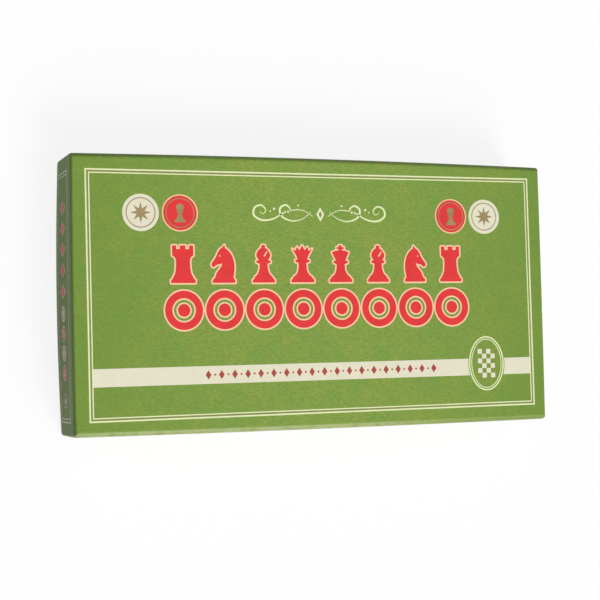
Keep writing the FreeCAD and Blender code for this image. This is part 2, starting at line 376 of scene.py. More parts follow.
@dataclass(frozen=True)
class Paper(Finish):
    """Uncoated or calendered paper with fibres and a faint cloud."""

    gloss_swing: float = 0.12
    fine_grain: Grain = Grain(0.7, 3.0)
    fine_relief: float = 0.6
    fibre_grain: Grain = Grain(2.2, 2.0, (1.0, 4.0, 4.0))
    fibre_share: float = 0.25
    fibre_shade: float = 0.86
    cloud_grain: Grain = Grain(38.0)

    def mix(self, graph: Graph) -> Signal:
        """Build the shader.

        Args:
            graph: Graph of the material.

        Returns:
            The shader.
        """
        fine, fibres = graph.grain(self.fine_grain), graph.grain(self.fibre_grain)
        colour = self.clouded(graph, graph.grain(self.cloud_grain))
        colour = graph.mixed(fibres * self.fibre_share, colour, self.shade(self.fibre_shade))
        height = fine * self.fine_relief + fibres * (1 - self.fine_relief)
        return self.surface(graph, colour, self.gloss(fine), height)


@dataclass(frozen=True)
class LidPaper(Finish):
    """Green wrap of the lid: clouded print, worn folds, lapped corners, painted shade and sheen."""

    gloss_swing: float = 0.14
    depth: float = 0.02
    half_length: float = 188.0
    half_width: float = 100.0
    top: float = 47.0
    warm: Colour = tone(151, 170, 77)
    cool: Colour = tone(130, 167, 79)
    cloud_grains: tuple[Grain, Grain] = (Grain(26.0), Grain(7.0, 3.0))
    laid: Patches = Patches(Grain(1.3, 1.0, (0.45, 1.0, 1.0)), CLOUDED)
    laid_share: float = 0.42
    laid_shade: float = 0.7
    # Painted shade towards both ends of the lid, where less light falls.
    end_shade: Colour = tone(106, 140, 54)
    end_shade_share: float = 0.5
    fine_grain: Grain = Grain(0.8, 3.0)
    fine_relief: float = 0.55
    fibre_grain: Grain = Grain(2.6, 2.0, (1.0, 3.0, 3.0))
    speck_span: Span = (0.35, 0.8)
    speck_share: float = 0.35
    speck_shade: float = 0.8
    # Pale paper where the print is rubbed off, also used for the painted highlight on the front
    # fold.
    rub_and_sheen: Colour = tone(182, 188, 142)
    fold_reach: Span = (1.6, 0.4)
    fold_rub: Patches = Patches(Grain(5.0, 4.0), (0.55, 0.72))
    corner_reach: Span = (3.4, 1.4)
    corner_rub: Patches = Patches(Grain(1.6, 3.0), (0.42, 0.6))
    rub_share: float = 0.35
    rub_relief: float = 0.6
    # Painted shade along the front fold and the top of the front wall.
    front_shade: Colour = tone(118, 122, 74)
    front_shade_reach: Span = (3.4, 1.8)
    front_shade_drop: Span = (8.0, 4.0)
    front_shade_share: float = 0.5
    # Pale rub along the front fold, stronger to the left: real wear, and partly a painted
    # highlight.
    scuff_and_sheen_run: Span = (130.0, 20.0)
    scuff_and_sheen: Patches = Patches(Grain(7.0, 3.0), (0.2, 0.6))
    scuff_and_sheen_share: float = 0.42
    # A dent at the front left corner: sunk in the relief, and its colour darkened as painted shade.
    crease_reach: Span = (2.8, 1.6)
    crease_run: Span = (14.0, 4.0)
    crease_drop: Span = (6.0, 3.5)
    crease: Patches = Patches(Grain(2.4, 3.0), (0.36, 0.56))
    crease_share: float = 0.6
    crease_painted_shade: float = 0.4
    crease_relief: float = 4.0
    lap: float = 97.2
    lap_span: Span = (0.35, 0.1)
    lap_share: float = 0.35
    lap_shade: float = 0.6
    lap_relief: float = 2.0
    end_face: float = 0.6
    wall_drop: Span = (3.0, 7.0)
    wall_matt: float = 0.2

    def inked(self, graph: Graph, x: Signal, fine: Signal) -> Signal:
        """Return the colour of the print before any wear, with painted shade towards both ends.

        Args:
            graph: Graph of the material.
            x: Distance from the middle, along the lid.
            fine: Fine noise of the paper.

        Returns:
            The colour.
        """
        large, small = (graph.grain(kind) * 0.5 for kind in self.cloud_grains)
        colour = graph.mixed((large + small).fade(*CLOUDED), self.warm, self.cool)
        laid = self.laid.on(graph) * self.laid_share
        colour = graph.mixed(laid, colour, self.shade(self.laid_shade))
        # Painted shade: the print is darkened towards both ends, as light falls off away from the
        # middle.
        off_middle = x / self.half_length
        colour = graph.mixed(off_middle * off_middle * self.end_shade_share, colour, self.end_shade)
        specks = fine.fade(*self.speck_span) * self.speck_share
        return graph.mixed(specks, colour, self.shade(self.speck_shade))

    def mix(self, graph: Graph) -> Signal:
        """Build the shader.

        Args:
            graph: Graph of the material.

        Returns:
            The shader.
        """
        x, y, z = graph.position()
        fine, fibres = graph.grain(self.fine_grain), graph.grain(self.fibre_grain)
        colour = self.inked(graph, x, fine)
        ends, sides = self.half_length - abs(x), self.half_width - abs(y)
        to_left, to_front, above = x + self.half_length, y + self.half_width, self.top - z
        low, high = ends.least(sides), ends.most(sides)
        to_fold, to_corner = low.most(high.least(above)), high.most(above)
        worn = to_fold.fade(*self.fold_reach) * self.fold_rub.on(graph)
        worn = worn.most(to_corner.fade(*self.corner_reach) * self.corner_rub.on(graph))
        colour = graph.mixed(worn * self.rub_share, colour, self.rub_and_sheen)
        # Painted shade: the front fold and the top of the front wall are mixed towards a darker
        # grey green.
        front_shade_band = to_front.fade(*self.front_shade_reach) * above.fade(*self.front_shade_drop)
        colour = graph.mixed(front_shade_band * self.front_shade_share, colour, self.front_shade)
        # Real rubbing and a painted highlight: the front fold is paled towards the left.
        scuff_and_sheen = front_shade_band * x.fade(*self.scuff_and_sheen_run) * self.scuff_and_sheen.on(graph)
        colour = graph.mixed(scuff_and_sheen * self.scuff_and_sheen_share, colour, self.rub_and_sheen)
        # Painted shade: the dent's colour is darkened where shade would fall in the crease.
        crease = to_left.fade(*self.crease_reach) * to_front.fade(*self.crease_run)
        crease = crease * above.fade(*self.crease_drop) * self.crease.on(graph)
        colour = graph.mixed(crease * self.crease_share, colour, self.shade(self.crease_painted_shade))
        lap = abs(abs(y) - self.lap).fade(*self.lap_span) * (ends < self.end_face)
        colour = graph.mixed(lap * self.lap_share, colour, self.shade(self.lap_shade))
        height = fine * self.fine_relief + fibres * (1 - self.fine_relief)
        height = height - lap * self.lap_relief - worn * self.rub_relief
        height = height - crease * self.crease_relief
        gloss = self.gloss(fine) + self.wall_matt * above.fade(*self.wall_drop)
        return self.surface(graph, colour, gloss, height)


@dataclass(frozen=True)
class Ink(Finish):
    """A printed colour with the slight unevenness of a full tone."""

    cloud: float = 0.12
    depth: float = 0.008
    proud: float = 0.05
    fine_grain: Grain = Grain(0.6)
    speck_span: Span = (0.5, 0.85)
    speck_share: float = 0.25
    speck_shade: float = 0.8
    cloud_patches: Patches = Patches(Grain(9.0, 3.0), CLOUDED)

    def mix(self, graph: Graph) -> Signal:
        """Build the shader.

        Args:
            graph: Graph of the material.

        Returns:
            The shader.
        """
        fine = graph.grain(self.fine_grain)
        colour = self.clouded(graph, self.cloud_patches.on(graph))
        specks = fine.fade(*self.speck_span) * self.speck_share
        colour = graph.mixed(specks, colour, self.shade(self.speck_shade))
        return self.surface(graph, colour, self.gloss(fine), fine)


@dataclass(frozen=True)
class GreyBoard(Finish):
    """Recycled board with dark and pale flecks."""

    depth: float = 0.04
    pulp_grain: Grain = Grain(4.0, 3.0, (1.0, 2.0, 2.0))
    pulp_shades: Span = (0.86, 1.1)
    fleck_grain: Grain = Grain(1.1, 4.0)
    fleck_share: float = 0.5
    dark_span: Span = (0.6, 0.75)
    dark_shade: float = 0.5
    pale_span: Span = (0.36, 0.26)
    pale_shade: float = 1.5

    def mix(self, graph: Graph) -> Signal:
        """Build the shader.

        Args:
            graph: Graph of the material.

        Returns:
            The shader.
        """
        fleck, pulp = graph.grain(self.fleck_grain), graph.grain(self.pulp_grain)
        colour = graph.mixed(pulp.fade(*CLOUDED), *(self.shade(part) for part in self.pulp_shades))
        for span, shade in ((self.dark_span, self.dark_shade), (self.pale_span, self.pale_shade)):
            colour = graph.mixed(fleck.fade(*span) * self.fleck_share, colour, self.shade(shade))
        return self.surface(graph, colour, self.roughness, fleck * 0.5 + pulp * 0.5)


@dataclass(frozen=True)
class BackPaper(Finish):
    """Grained dark paper on the board's backs, with a printed double line."""

    cloud: float = 0.12
    depth: float = 0.05
    cloud_grain: Grain = Grain(30.0, 3.0)
    pebble: float = 0.9
    line: Colour = tone(214, 204, 164)
    line_wear: Patches = Patches(Grain(1.4, 3.0), (0.3, 0.5))
    half_length: float = 180.0
    half_width: float = 92.5
    line_inset: float = 9.0
    line_widths: Span = (0.9, 0.45)
    line_pitch: float = 2.2

    def mix(self, graph: Graph) -> Signal:
        """Build the shader.

        Args:
            graph: Graph of the material.

        Returns:
            The shader.
        """
        x, y, _ = graph.position()
        pebble = graph.node(
            "ShaderNodeTexVoronoi", {"feature": "SMOOTH_F1"},
            {"Vector": graph.place(), "Scale": 1 / (self.pebble * MM)},
        )
        broad = graph.grain(self.cloud_grain)
        colour = self.clouded(graph, broad.fade(*CLOUDED))
        edge = (self.half_length - abs(x)).least(self.half_width - abs(y))
        wide, thin = self.line_widths
        first = abs(edge - self.line_inset) < wide / 2
        second = abs(edge - self.line_inset - self.line_pitch) < thin / 2
        colour = graph.mixed(first.most(second) * self.line_wear.on(graph), colour, self.line)
        return self.surface(graph, colour, self.gloss(broad), pebble)


@dataclass(frozen=True)
class PlayingSheet(Finish):
    """Printed squares on one leaf of the board."""

    cloud: float = 0.05
    depth: float = 0.012
    cloud_grain: Grain = Grain(30.0, 3.0)
    fine_grain: Grain = Grain(0.7, 3.0)
    dark: Colour = tone(66, 98, 52)
    worn_lift: float = 1.5
    worn_span: Span = (0.4, 0.9)
    worn_share: float = 0.4
    square: float = 42.0
    first_row: float = -87.5
    rows: int = 4
    columns: int = 8
    parity: int = 0
    rule_gap: float = 2.4
    rule_width: float = 0.9

    def mix(self, graph: Graph) -> Signal:
        """Build the shader.

        Args:
            graph: Graph of the material.

        Returns:
            The shader.
        """
        x, y, _ = graph.position()
        half = self.square * self.columns / 2
        across = ((x + half) / self.square).floor()
        along = ((y - self.first_row) / self.square).floor()
        beyond = (abs(x) - half).most(y - self.first_row - self.rows * self.square)
        rule = abs(beyond - self.rule_gap) < self.rule_width / 2
        printed = ((across + along + self.parity).odd() * (beyond < 0.0)).most(rule)
        fine = graph.grain(self.fine_grain)
        pale = self.clouded(graph, graph.grain(self.cloud_grain))
        worn = fine.fade(*self.worn_span) * self.worn_share
        ink = graph.mixed(worn, self.dark, shaded(self.dark, self.worn_lift))
        colour = graph.mixed(printed, pale, ink)
        return self.surface(graph, colour, self.gloss(fine), fine)


@dataclass(frozen=True)
class Cloth(Finish):
    """Fine plain weave."""

    depth: float = 0.08
    thread: float = 0.45
    thread_share: float = 0.6
    thread_relief: float = 0.7
    fuzz_grain: Grain = Grain(0.5, 3.0)
    fuzz_share: float = 0.3
    shades: Span = (0.7, 1.2)

    def mix(self, graph: Graph) -> Signal:
        """Build the shader.

        Args:
            graph: Graph of the material.

        Returns:
            The shader.
        """
        x, y, z = graph.position()
        turn = math.pi / self.thread
        weave = (x * turn).sine() * ((y + z) * turn).sine() * 0.5 + 0.5
        fuzz = graph.grain(self.fuzz_grain)
        # Painted light and shade of the weave: thread crowns lighter and gaps darker, with a random
        # tone from the fuzz.
        lit = weave * self.thread_share + fuzz * self.fuzz_share
        colour = graph.mixed(lit, *(self.shade(part) for part in self.shades))
        height = weave * self.thread_relief + fuzz * (1 - self.thread_relief)
        return self.surface(graph, colour, self.roughness, height)


@dataclass(frozen=True)
class PaintedWood(Finish):
    """Turned wood under a satin paint that lets the grain show."""

    cloud: float = 0.1
    gloss_swing: float = 0.12
    depth: float = 0.03
    coat: float = 0.35
    grain: Grain = Grain(2.4, 4.0, (0.12, 1.0, 1.0))
    grain_share: float = 0.5
    grain_relief: float = 0.6
    cloud_grain: Grain = Grain(14.0)
    cloud_share: float = 0.3
    pores: Patches = Patches(Grain(0.7, 2.0, (0.08, 1.0, 1.0)), (0.6, 0.8))
    pore_share: float = 0.35
    pore_shade: float = 0.65

    def mix(self, graph: Graph) -> Signal:
        """Build the shader.

        Args:
            graph: Graph of the material.

        Returns:
            The shader.
        """
        grain, pores = graph.grain(self.grain), self.pores.on(graph)
        broad = graph.grain(self.cloud_grain)
        streaks = grain.fade(*CLOUDED) * self.grain_share + broad * self.cloud_share
        colour = self.clouded(graph, streaks)
        colour = graph.mixed(pores * self.pore_share, colour, self.shade(self.pore_shade))
        height = grain * self.grain_relief - pores * (1 - self.grain_relief)
        return self.surface(graph, colour, self.gloss(grain), height)


GREEN_WRAP = LidPaper("green_wrap", "printed_paper", tone(126, 155, 68), 0.3, 0.12)
CREAM_INK = Ink("cream_ink", "printed_paper", tone(233, 229, 203), cloud=0.02)
LINE_INK = Ink("line_ink", "printed_paper", tone(234, 242, 189), cloud=0.02, proud=0.045)
PEACH_INK = Ink("peach_ink", "printed_paper", tone(254, 210, 168), cloud=0.02)
RED_INK = Ink("red_ink", "printed_paper", tone(228, 50, 51), 0.45, cloud=0.06, proud=0.075)
DARK_RED_INK = Ink("dark_red_ink", "printed_paper", tone(172, 70, 58))
BRONZE_INK = Ink("bronze_ink", "printed_paper", tone(158, 138, 94), 0.42, proud=0.1)
OLIVE_INK = Ink("olive_ink", "printed_paper", tone(131, 138, 73), proud=0.04)
BRONZE_FOIL = Ink("bronze_foil", "cream_wood", tone(150, 120, 70), 0.34, proud=0.06)
PLAIN_WRAP = Paper("plain_green_paper", "plain_paper", tone(116, 146, 66), 0.55)
LINING = Paper("lining_paper", "lining_paper", tone(231, 224, 200), 0.68)
GREY = GreyBoard("grey_board", "grey_board", tone(150, 142, 128), 0.85)
CARD = Paper("folding_card", "folding_card", tone(226, 219, 200), 0.62, cloud=0.03)
BACK = BackPaper("board_back_paper", "board_paper", tone(44, 66, 42))
LOWER_SQUARES = PlayingSheet("lower_squares", "playing_sheet", tone(230, 222, 190), 0.42, parity=1)
UPPER_SQUARES = PlayingSheet("upper_squares", "playing_sheet", tone(230, 222, 190), 0.42)
HINGE = Cloth("hinge_weave", "hinge_cloth", tone(52, 78, 48), 0.85)
LEAF = Paper("leaflet_paper", "leaflet_paper", tone(240, 236, 222), 0.6, cloud=0.02)
LEAF_INK = Ink("leaflet_ink", "leaflet_paper", tone(70, 66, 58), 0.6)
CREAM_WOOD = PaintedWood("cream_painted_wood", "cream_wood", tone(228, 217, 182), 0.36)
RED_WOOD = PaintedWood("red_painted_wood", "red_wood", tone(188, 52, 44), 0.34)


# ------------------------------------------------------------- piece handling

SHARP_EDGE = math.radians(35.0)


def new_object(name: str, data: bpy.types.ID) -> bpy.types.Object:
    """Put data into the scene as a new object.

    Args:
        name: Name of the object.
        data: Mesh, curve, light or camera.

    Returns:
        The object.
    """
    made = bpy.data.objects.new(name, data)
    bpy.context.scene.collection.objects.link(made)
    return made


def enter(
    name: str, mesh: bpy.types.Mesh, finish: Finish, body: str | None,
    stands_for: Sequence[str] = (),
) -> bpy.types.Object:
    """Put a finished mesh into the scene as a piece.

    Args:
        name: Plain name of the piece.
        mesh: Mesh in place, in metres.
        finish: Finish of the whole piece.
        body: Body that it moves with, or None where it is left on no body.
        stands_for: Nodes of the frame that it replaces.

    Returns:
        The new object.
    """
    piece = new_object(name, mesh)
    mesh.materials.clear()
    mesh.materials.append(finish.material())
    if body is not None:
        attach(piece, body)
    if stands_for:
        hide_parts(*stands_for)
    LOG.info("%s: %d faces on %s", name, len(mesh.polygons), body or "a joint")
    return piece


def dress(node: str, finish: Finish) -> None:
    """Give a node of the frame its finish.

    Args:
        node: Name of the node.
        finish: Finish that it takes.
    """
    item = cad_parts[node]
    item.data.materials.clear()
    item.data.materials.append(finish.material())
    LOG.info("%s: dressed in %s", node, finish.name)


def to_mesh(name: str, form: bmesh.types.BMesh) -> bpy.types.Mesh:
    """Turn a working form into a smooth-shaded mesh with its faces outwards.

    Args:
        name: Name of the mesh.
        form: Working form, freed here.

    Returns:
        The mesh.
    """
    bmesh.ops.recalc_face_normals(form, faces=form.faces[:])
    mesh = bpy.data.meshes.new(name)
    form.to_mesh(mesh)
    form.free()
    mesh.shade_smooth()
    mesh.set_sharp_from_angle(angle=SHARP_EDGE)
    return mesh


def loft(name: str, rings: Sequence[Sequence[Vector]]) -> bpy.types.Mesh:
    """Skin a row of rings of equal count and close both ends.

    Args:
        name: Name of the mesh.
        rings: Rings in order, in millimetres.

    Returns:
        The closed mesh in metres.
    """
    form = bmesh.new()
    rows = [[form.verts.new(spot * MM) for spot in ring] for ring in rings]
    for lower, upper in zip(rows, rows[1:]):
        for index in range(len(lower)):
            after = (index + 1) % len(lower)
            form.faces.new((lower[index], lower[after], upper[after], upper[index]))
    form.faces.new(rows[0])
    form.faces.new(rows[-1])
    return to_mesh(name, form)


# ------------------------------------------------------------- printed shapes

RING_STEPS = 48
CURVE_STEPS = 6
JOINT_STEPS = 10
POINT_WELD = 1e-4
INSIDE_FACES = 1


def circle(centre: Point, radius: float, count: int) -> Loop:
    """Return a circle as a loop.

    Args:
        centre: Middle of the circle.
        radius: Radius.
        count: Number of points.

    Returns:
        The loop.
    """
    return [
        (centre[0] + radius * math.cos(angle), centre[1] + radius * math.sin(angle))
        for angle in evenly(0.0, 2 * math.pi, count)[:-1]
    ]


def ring(centre: Point, outer: float, inner: float, flatten: float = 1.0) -> list[Loop]:
    """Return a flat ring as a chain of small quadrilaterals.

    Args:
        centre: Middle of the ring.
        outer: Outer radius across.
        inner: Inner radius across.
        flatten: Height of the middle line as a share of its width.

    Returns:
        One loop for each quadrilateral.
    """
    middle = (outer + inner) / 2
    rise = middle * flatten - middle
    loops = []
    for step in range(RING_STEPS):
        quad = []
        for turn, radius in ((step, inner), (step, outer), (step + 1, outer), (step + 1, inner)):
            angle = 2 * math.pi * turn / RING_STEPS
            quad.append((
                centre[0] + radius * math.cos(angle),
                centre[1] + (radius + rise) * math.sin(angle),
            ))
        loops.append(quad)
    return loops


def box_loop(left: float, low: float, right: float, high: float) -> Loop:
    """Return a rectangle as a loop."""
    return [(left, low), (right, low), (right, high), (left, high)]


def frame_loops(half_x: float, low: float, high: float, width: float) -> list[Loop]:
    """Return a rectangular frame line as four strips.

    Args:
        half_x: Outer half length.
        low: Outer low edge.
        high: Outer high edge.
        width: Width of the line.

    Returns:
        The four strips.
    """
    return [
        box_loop(-half_x, low, half_x, low + width),
        box_loop(-half_x, high - width, half_x, high),
        box_loop(-half_x, low + width, -half_x + width, high - width),
        box_loop(half_x - width, low + width, half_x, high - width),
    ]


def lozenge(centre: Point, half_x: float, half_y: float) -> Loop:
    """Return a lozenge as a loop."""
    x, y = centre
    return [(x + half_x, y), (x, y + half_y), (x - half_x, y), (x, y - half_y)]


def star(centre: Point, outer: float, inner: float, count: int) -> Loop:
    """Return a star as a loop.

    Args:
        centre: Middle of the star.
        outer: Radius of the tips.
        inner: Radius of the notches.
        count: Number of tips.

    Returns:
        The loop.
    """
    loop = []
    for step in range(2 * count):
        radius = inner if step % 2 else outer
        angle = math.pi / 2 + math.pi * step / count
        loop.append((centre[0] + radius * math.cos(angle), centre[1] + radius * math.sin(angle)))
    return loop


def curve_through(knots: Sequence[Knot], closed: bool = True) -> Loop:
    """Return a line through knots, curved between those that are marked so.

    Args:
        knots: Places, each with 1 where the line bends through it.
        closed: Whether the last knot joins the first.

    Returns:
        The points in order.
    """
    count = len(knots)
    points: Loop = []
    for index in range(count if closed else count - 1):
        here, there = knots[index], knots[(index + 1) % count]
        points.append(here[:2])
        if not (here[2] and there[2]):
            continue
        before = knots[index - 1] if closed or index else here
        beyond = knots[(index + 2) % count] if closed or index + 2 < count else there
        before = before if before[2] else here
        beyond = beyond if beyond[2] else there
        for step in range(1, CURVE_STEPS):
            t = step / CURVE_STEPS
            # Weights of a cubic that passes through its two middle knots.
            weights = (
                -0.5 * t + t * t - 0.5 * t**3, 1 - 2.5 * t * t + 1.5 * t**3,
                0.5 * t + 2 * t * t - 1.5 * t**3, -0.5 * t * t + 0.5 * t**3,
            )
            points.append(tuple(
                sum(w * k[axis] for w, k in zip(weights, (before, here, there, beyond)))
                for axis in (0, 1)
            ))
    if not closed:
        points.append(knots[-1][:2])
    return points


def stroke(line: Loop, widths: Callable[[float], float]) -> list[Loop]:
    """Return a pen stroke of changing width as overlapping shapes.

    Args:
        line: Middle line of the stroke.
        widths: Width for a share of the way along it.

    Returns:
        Quadrilaterals and round joints.
    """
    loops = []
    last = len(line) - 1
    for index, (start, end) in enumerate(zip(line, line[1:])):
        first, second = Vector(start), Vector(end)
        along = second - first
        side = Vector((-along.y, along.x)).normalized()
        near, far = (widths(step / last) / 2 for step in (index, index + 1))
        corners = (
            first - side * near, second - side * far, second + side * far, first + side * near
        )
        loops.append([tuple(corner) for corner in corners])
        loops.append(circle(end, far, JOINT_STEPS))
    return loops


def grown(loops: Iterable[Loop], margin: float) -> list[Loop]:
    """Return shapes with a margin laid round them.

    Args:
        loops: Closed shapes.
        margin: Width of the margin.

    Returns:
        The shapes and the strokes round their edges.
    """
    wider = []
    for loop in loops:
        wider.append(loop)
        wider += stroke(loop + loop[:1], lambda _: 2 * margin)
    return wider


class Sign(Enum):
    """Traditional chess signs."""

    ROOK = "rook"
    KNIGHT = "knight"
    BISHOP = "bishop"
    QUEEN = "queen"
    KING = "king"
    PAWN = "pawn"


@dataclass(frozen=True)
class Figure:
    """Outline of a chess sign, one high, standing on the line of zero.

    The right half of a figure that is alike on both sides is enough.
    """

    knots: tuple[Knot, ...]
    mirrored: bool = True
    gaps: tuple[tuple[Point, ...], ...] = ()

    def loops(self, foot: Point, height: float) -> list[Loop]:
        """Return the outline and its gaps in place.

        Args:
            foot: Middle of the base.
            height: Height of the figure.

        Returns:
            The outline first, then the gaps.
        """
        knots = list(self.knots)
        if self.mirrored:
            knots += [(-x, y, bend) for x, y, bend in reversed(knots) if x > 0]
        shapes = [curve_through(knots), *(list(gap) for gap in self.gaps)]
        return [[(foot[0] + height * x, foot[1] + height * y) for x, y in loop] for loop in shapes]


FIGURES: dict[Sign, Figure] = {
    Sign.PAWN: Figure((
        (0.31, 0, 0), (0.31, 0.075, 0), (0.27, 0.10, 0), (0.25, 0.15, 1), (0.17, 0.24, 1),
        (0.115, 0.38, 1), (0.105, 0.49, 1), (0.20, 0.53, 0), (0.20, 0.575, 0), (0.10, 0.59, 0),
        (0.155, 0.63, 1), (0.205, 0.715, 1), (0.215, 0.78, 1), (0.195, 0.87, 1), (0.13, 0.95, 1),
        (0.05, 0.988, 1), (0.0, 0.993, 1),
    )),
    Sign.ROOK: Figure((
        (0.33, 0, 0), (0.33, 0.08, 0), (0.29, 0.105, 0), (0.27, 0.16, 1), (0.22, 0.25, 1),
        (0.195, 0.40, 1), (0.19, 0.58, 1), (0.215, 0.67, 1), (0.285, 0.72, 0), (0.285, 0.98, 0),
        (0.175, 0.98, 0), (0.175, 0.885, 0), (0.075, 0.885, 0), (0.075, 0.98, 0),
    )),
    Sign.BISHOP: Figure((
        (0.31, 0, 0), (0.31, 0.075, 0), (0.27, 0.10, 0), (0.25, 0.15, 1), (0.17, 0.23, 1),
        (0.12, 0.36, 1), (0.11, 0.50, 1), (0.20, 0.535, 0), (0.20, 0.578, 0), (0.13, 0.597, 0),
        (0.18, 0.67, 1), (0.195, 0.74, 1), (0.165, 0.82, 1), (0.10, 0.895, 1), (0.045, 0.932, 1),
        (0.062, 0.962, 1), (0.04, 0.993, 1), (0.0, 1.0, 1),
    ), gaps=(((0.0, 0.70), (0.035, 0.685), (0.125, 0.815), (0.095, 0.84)),)),
    Sign.QUEEN: Figure((
        (0.33, 0, 0), (0.33, 0.075, 0), (0.29, 0.10, 0), (0.265, 0.15, 1), (0.18, 0.22, 1),
        (0.125, 0.34, 1), (0.11, 0.52, 1), (0.205, 0.555, 0), (0.205, 0.598, 0), (0.14, 0.615, 0),
        (0.165, 0.70, 1), (0.215, 0.79, 1), (0.285, 0.905, 0), (0.19, 0.845, 0), (0.15, 0.958, 0),
        (0.075, 0.862, 0), (0.0, 0.995, 0),
    )),
    Sign.KING: Figure((
        (0.33, 0, 0), (0.33, 0.075, 0), (0.29, 0.10, 0), (0.265, 0.15, 1), (0.18, 0.22, 1),
        (0.13, 0.34, 1), (0.12, 0.49, 1), (0.21, 0.525, 0), (0.21, 0.568, 0), (0.145, 0.585, 0),
        (0.17, 0.66, 1), (0.22, 0.755, 1), (0.25, 0.81, 0), (0.14, 0.852, 0), (0.045, 0.862, 0),
        (0.045, 0.90, 0), (0.105, 0.90, 0), (0.105, 0.95, 0), (0.045, 0.95, 0), (0.045, 1.0, 0),
    )),
    Sign.KNIGHT: Figure((
        (-0.31, 0, 0), (0.31, 0, 0), (0.31, 0.08, 0), (0.27, 0.105, 0), (0.265, 0.16, 1),
        (0.29, 0.30, 1), (0.295, 0.46, 1), (0.265, 0.63, 1), (0.20, 0.77, 1), (0.11, 0.875, 1),
        (0.045, 0.915, 0), (0.03, 1.0, 0), (-0.035, 0.925, 0), (-0.10, 0.885, 1),
        (-0.155, 0.80, 1), (-0.20, 0.70, 1), (-0.265, 0.60, 1), (-0.325, 0.52, 1),
        (-0.335, 0.465, 1), (-0.305, 0.425, 1), (-0.26, 0.42, 1), (-0.225, 0.455, 1),
        (-0.17, 0.48, 1), (-0.10, 0.49, 1), (-0.04, 0.515, 0), (-0.06, 0.44, 1),
        (-0.13, 0.35, 1), (-0.20, 0.26, 1), (-0.235, 0.16, 1), (-0.27, 0.105, 0), (-0.31, 0.08, 0),
    ), mirrored=False, gaps=(((-0.13, 0.70), (-0.10, 0.685), (-0.075, 0.71), (-0.105, 0.735)),)),
}

BACK_RANK = (
    Sign.ROOK, Sign.KNIGHT, Sign.BISHOP, Sign.QUEEN, Sign.KING, Sign.BISHOP, Sign.KNIGHT, Sign.ROOK,
)


class Fill(Enum):
    """How overlapping shapes become one film."""

    UNION = "all that any shape covers"
    WITH_GAPS = "what one shape alone covers"


@dataclass
class Film:
    """Ink laid on a surface as one thin closed mesh."""

    name: str
    ink: Ink
    body: str
    place: Place
    sunk: float = 0.03
    slices: float = 0.0
    groups: list[tuple[list[Loop], Fill]] = field(default_factory=list)

    def add(self, loops: Iterable[Loop], fill: Fill = Fill.UNION) -> None:
        """Take in a group of shapes that belong together."""
        self.groups.append((list(loops), fill))

    def build(self) -> bpy.types.Object:
        """Lay all the groups down and enter the piece.

        Returns:
            The piece.
        """
        form = bmesh.new()
        for loops, fill in self.groups:
            self._lay(form, loops, fill)
        if self.slices:
            self._slice(form)
        base = form.faces[:]
        flat = {vertex: vertex.co.copy() for vertex in form.verts}
        raised = bmesh.ops.extrude_face_region(form, geom=base, use_keep_orig=True)["geom"]
        top = [item for item in raised if isinstance(item, bmesh.types.BMVert)]
        for vertex in top:
            vertex.co = self.place(vertex.co.x, vertex.co.y, self.ink.proud) * MM
        for vertex, spot in flat.items():
            vertex.co = self.place(spot.x, spot.y, -self.sunk) * MM
        return enter(self.name, to_mesh(self.name, form), self.ink, self.body)

    def _lay(self, form: bmesh.types.BMesh, loops: list[Loop], fill: Fill) -> None:
        """Lay one group of shapes flat.

        Args:
            form: Working form.
            loops: Shapes of the group.
            fill: How they overlap.
        """
        points: list[Vector] = []
        faces = []
        for loop in loops:
            area = sum(a[0] * b[1] - b[0] * a[1] for a, b in zip(loop, loop[1:] + loop[:1]))
            turned = loop if area > 0 else loop[::-1]
            faces.append(list(range(len(points), len(points) + len(turned))))
            points += [Vector(point) for point in turned]
        spots, _, made, _, _, covers = delaunay_2d_cdt(
            points, [], faces, INSIDE_FACES, POINT_WELD
        )
        verts = [form.verts.new((spot.x, spot.y, 0)) for spot in spots]
        for face, cover in zip(made, covers):
            if cover and (fill is Fill.UNION or len(cover) == 1):
                form.faces.new([verts[index] for index in face])
        loose = [vertex for vertex in verts if not vertex.link_faces]
        bmesh.ops.delete(form, geom=loose, context="VERTS")

    def _slice(self, form: bmesh.types.BMesh) -> None:
        """Cut the flat shapes across, so that they can follow a bowed wall.

        Args:
            form: Working form.
        """
        for axis in (Vector((1, 0, 0)), Vector((0, 1, 0))):
            reach = [vertex.co.dot(axis) for vertex in form.verts]
            first = math.ceil(min(reach) / self.slices)
            for step in range(first, math.ceil(max(reach) / self.slices)):
                bmesh.ops.bisect_plane(
                    form, geom=form.verts[:] + form.edges[:] + form.faces[:],
                    plane_co=axis * step * self.slices, plane_no=axis,
                )


# -------------------------------------------------------------- repeated forms

WELD = 1e-7
AXIS_RADIUS = 1e-7
AXIS_WELD = 2e-6
SHORTEST_BAR = 0.72
BAR_SEED = 7
LOZENGE_SIDES = 4
DOT_SIDES = 14
SPOT_SIDES = 40
HOOP_STEPS = 56


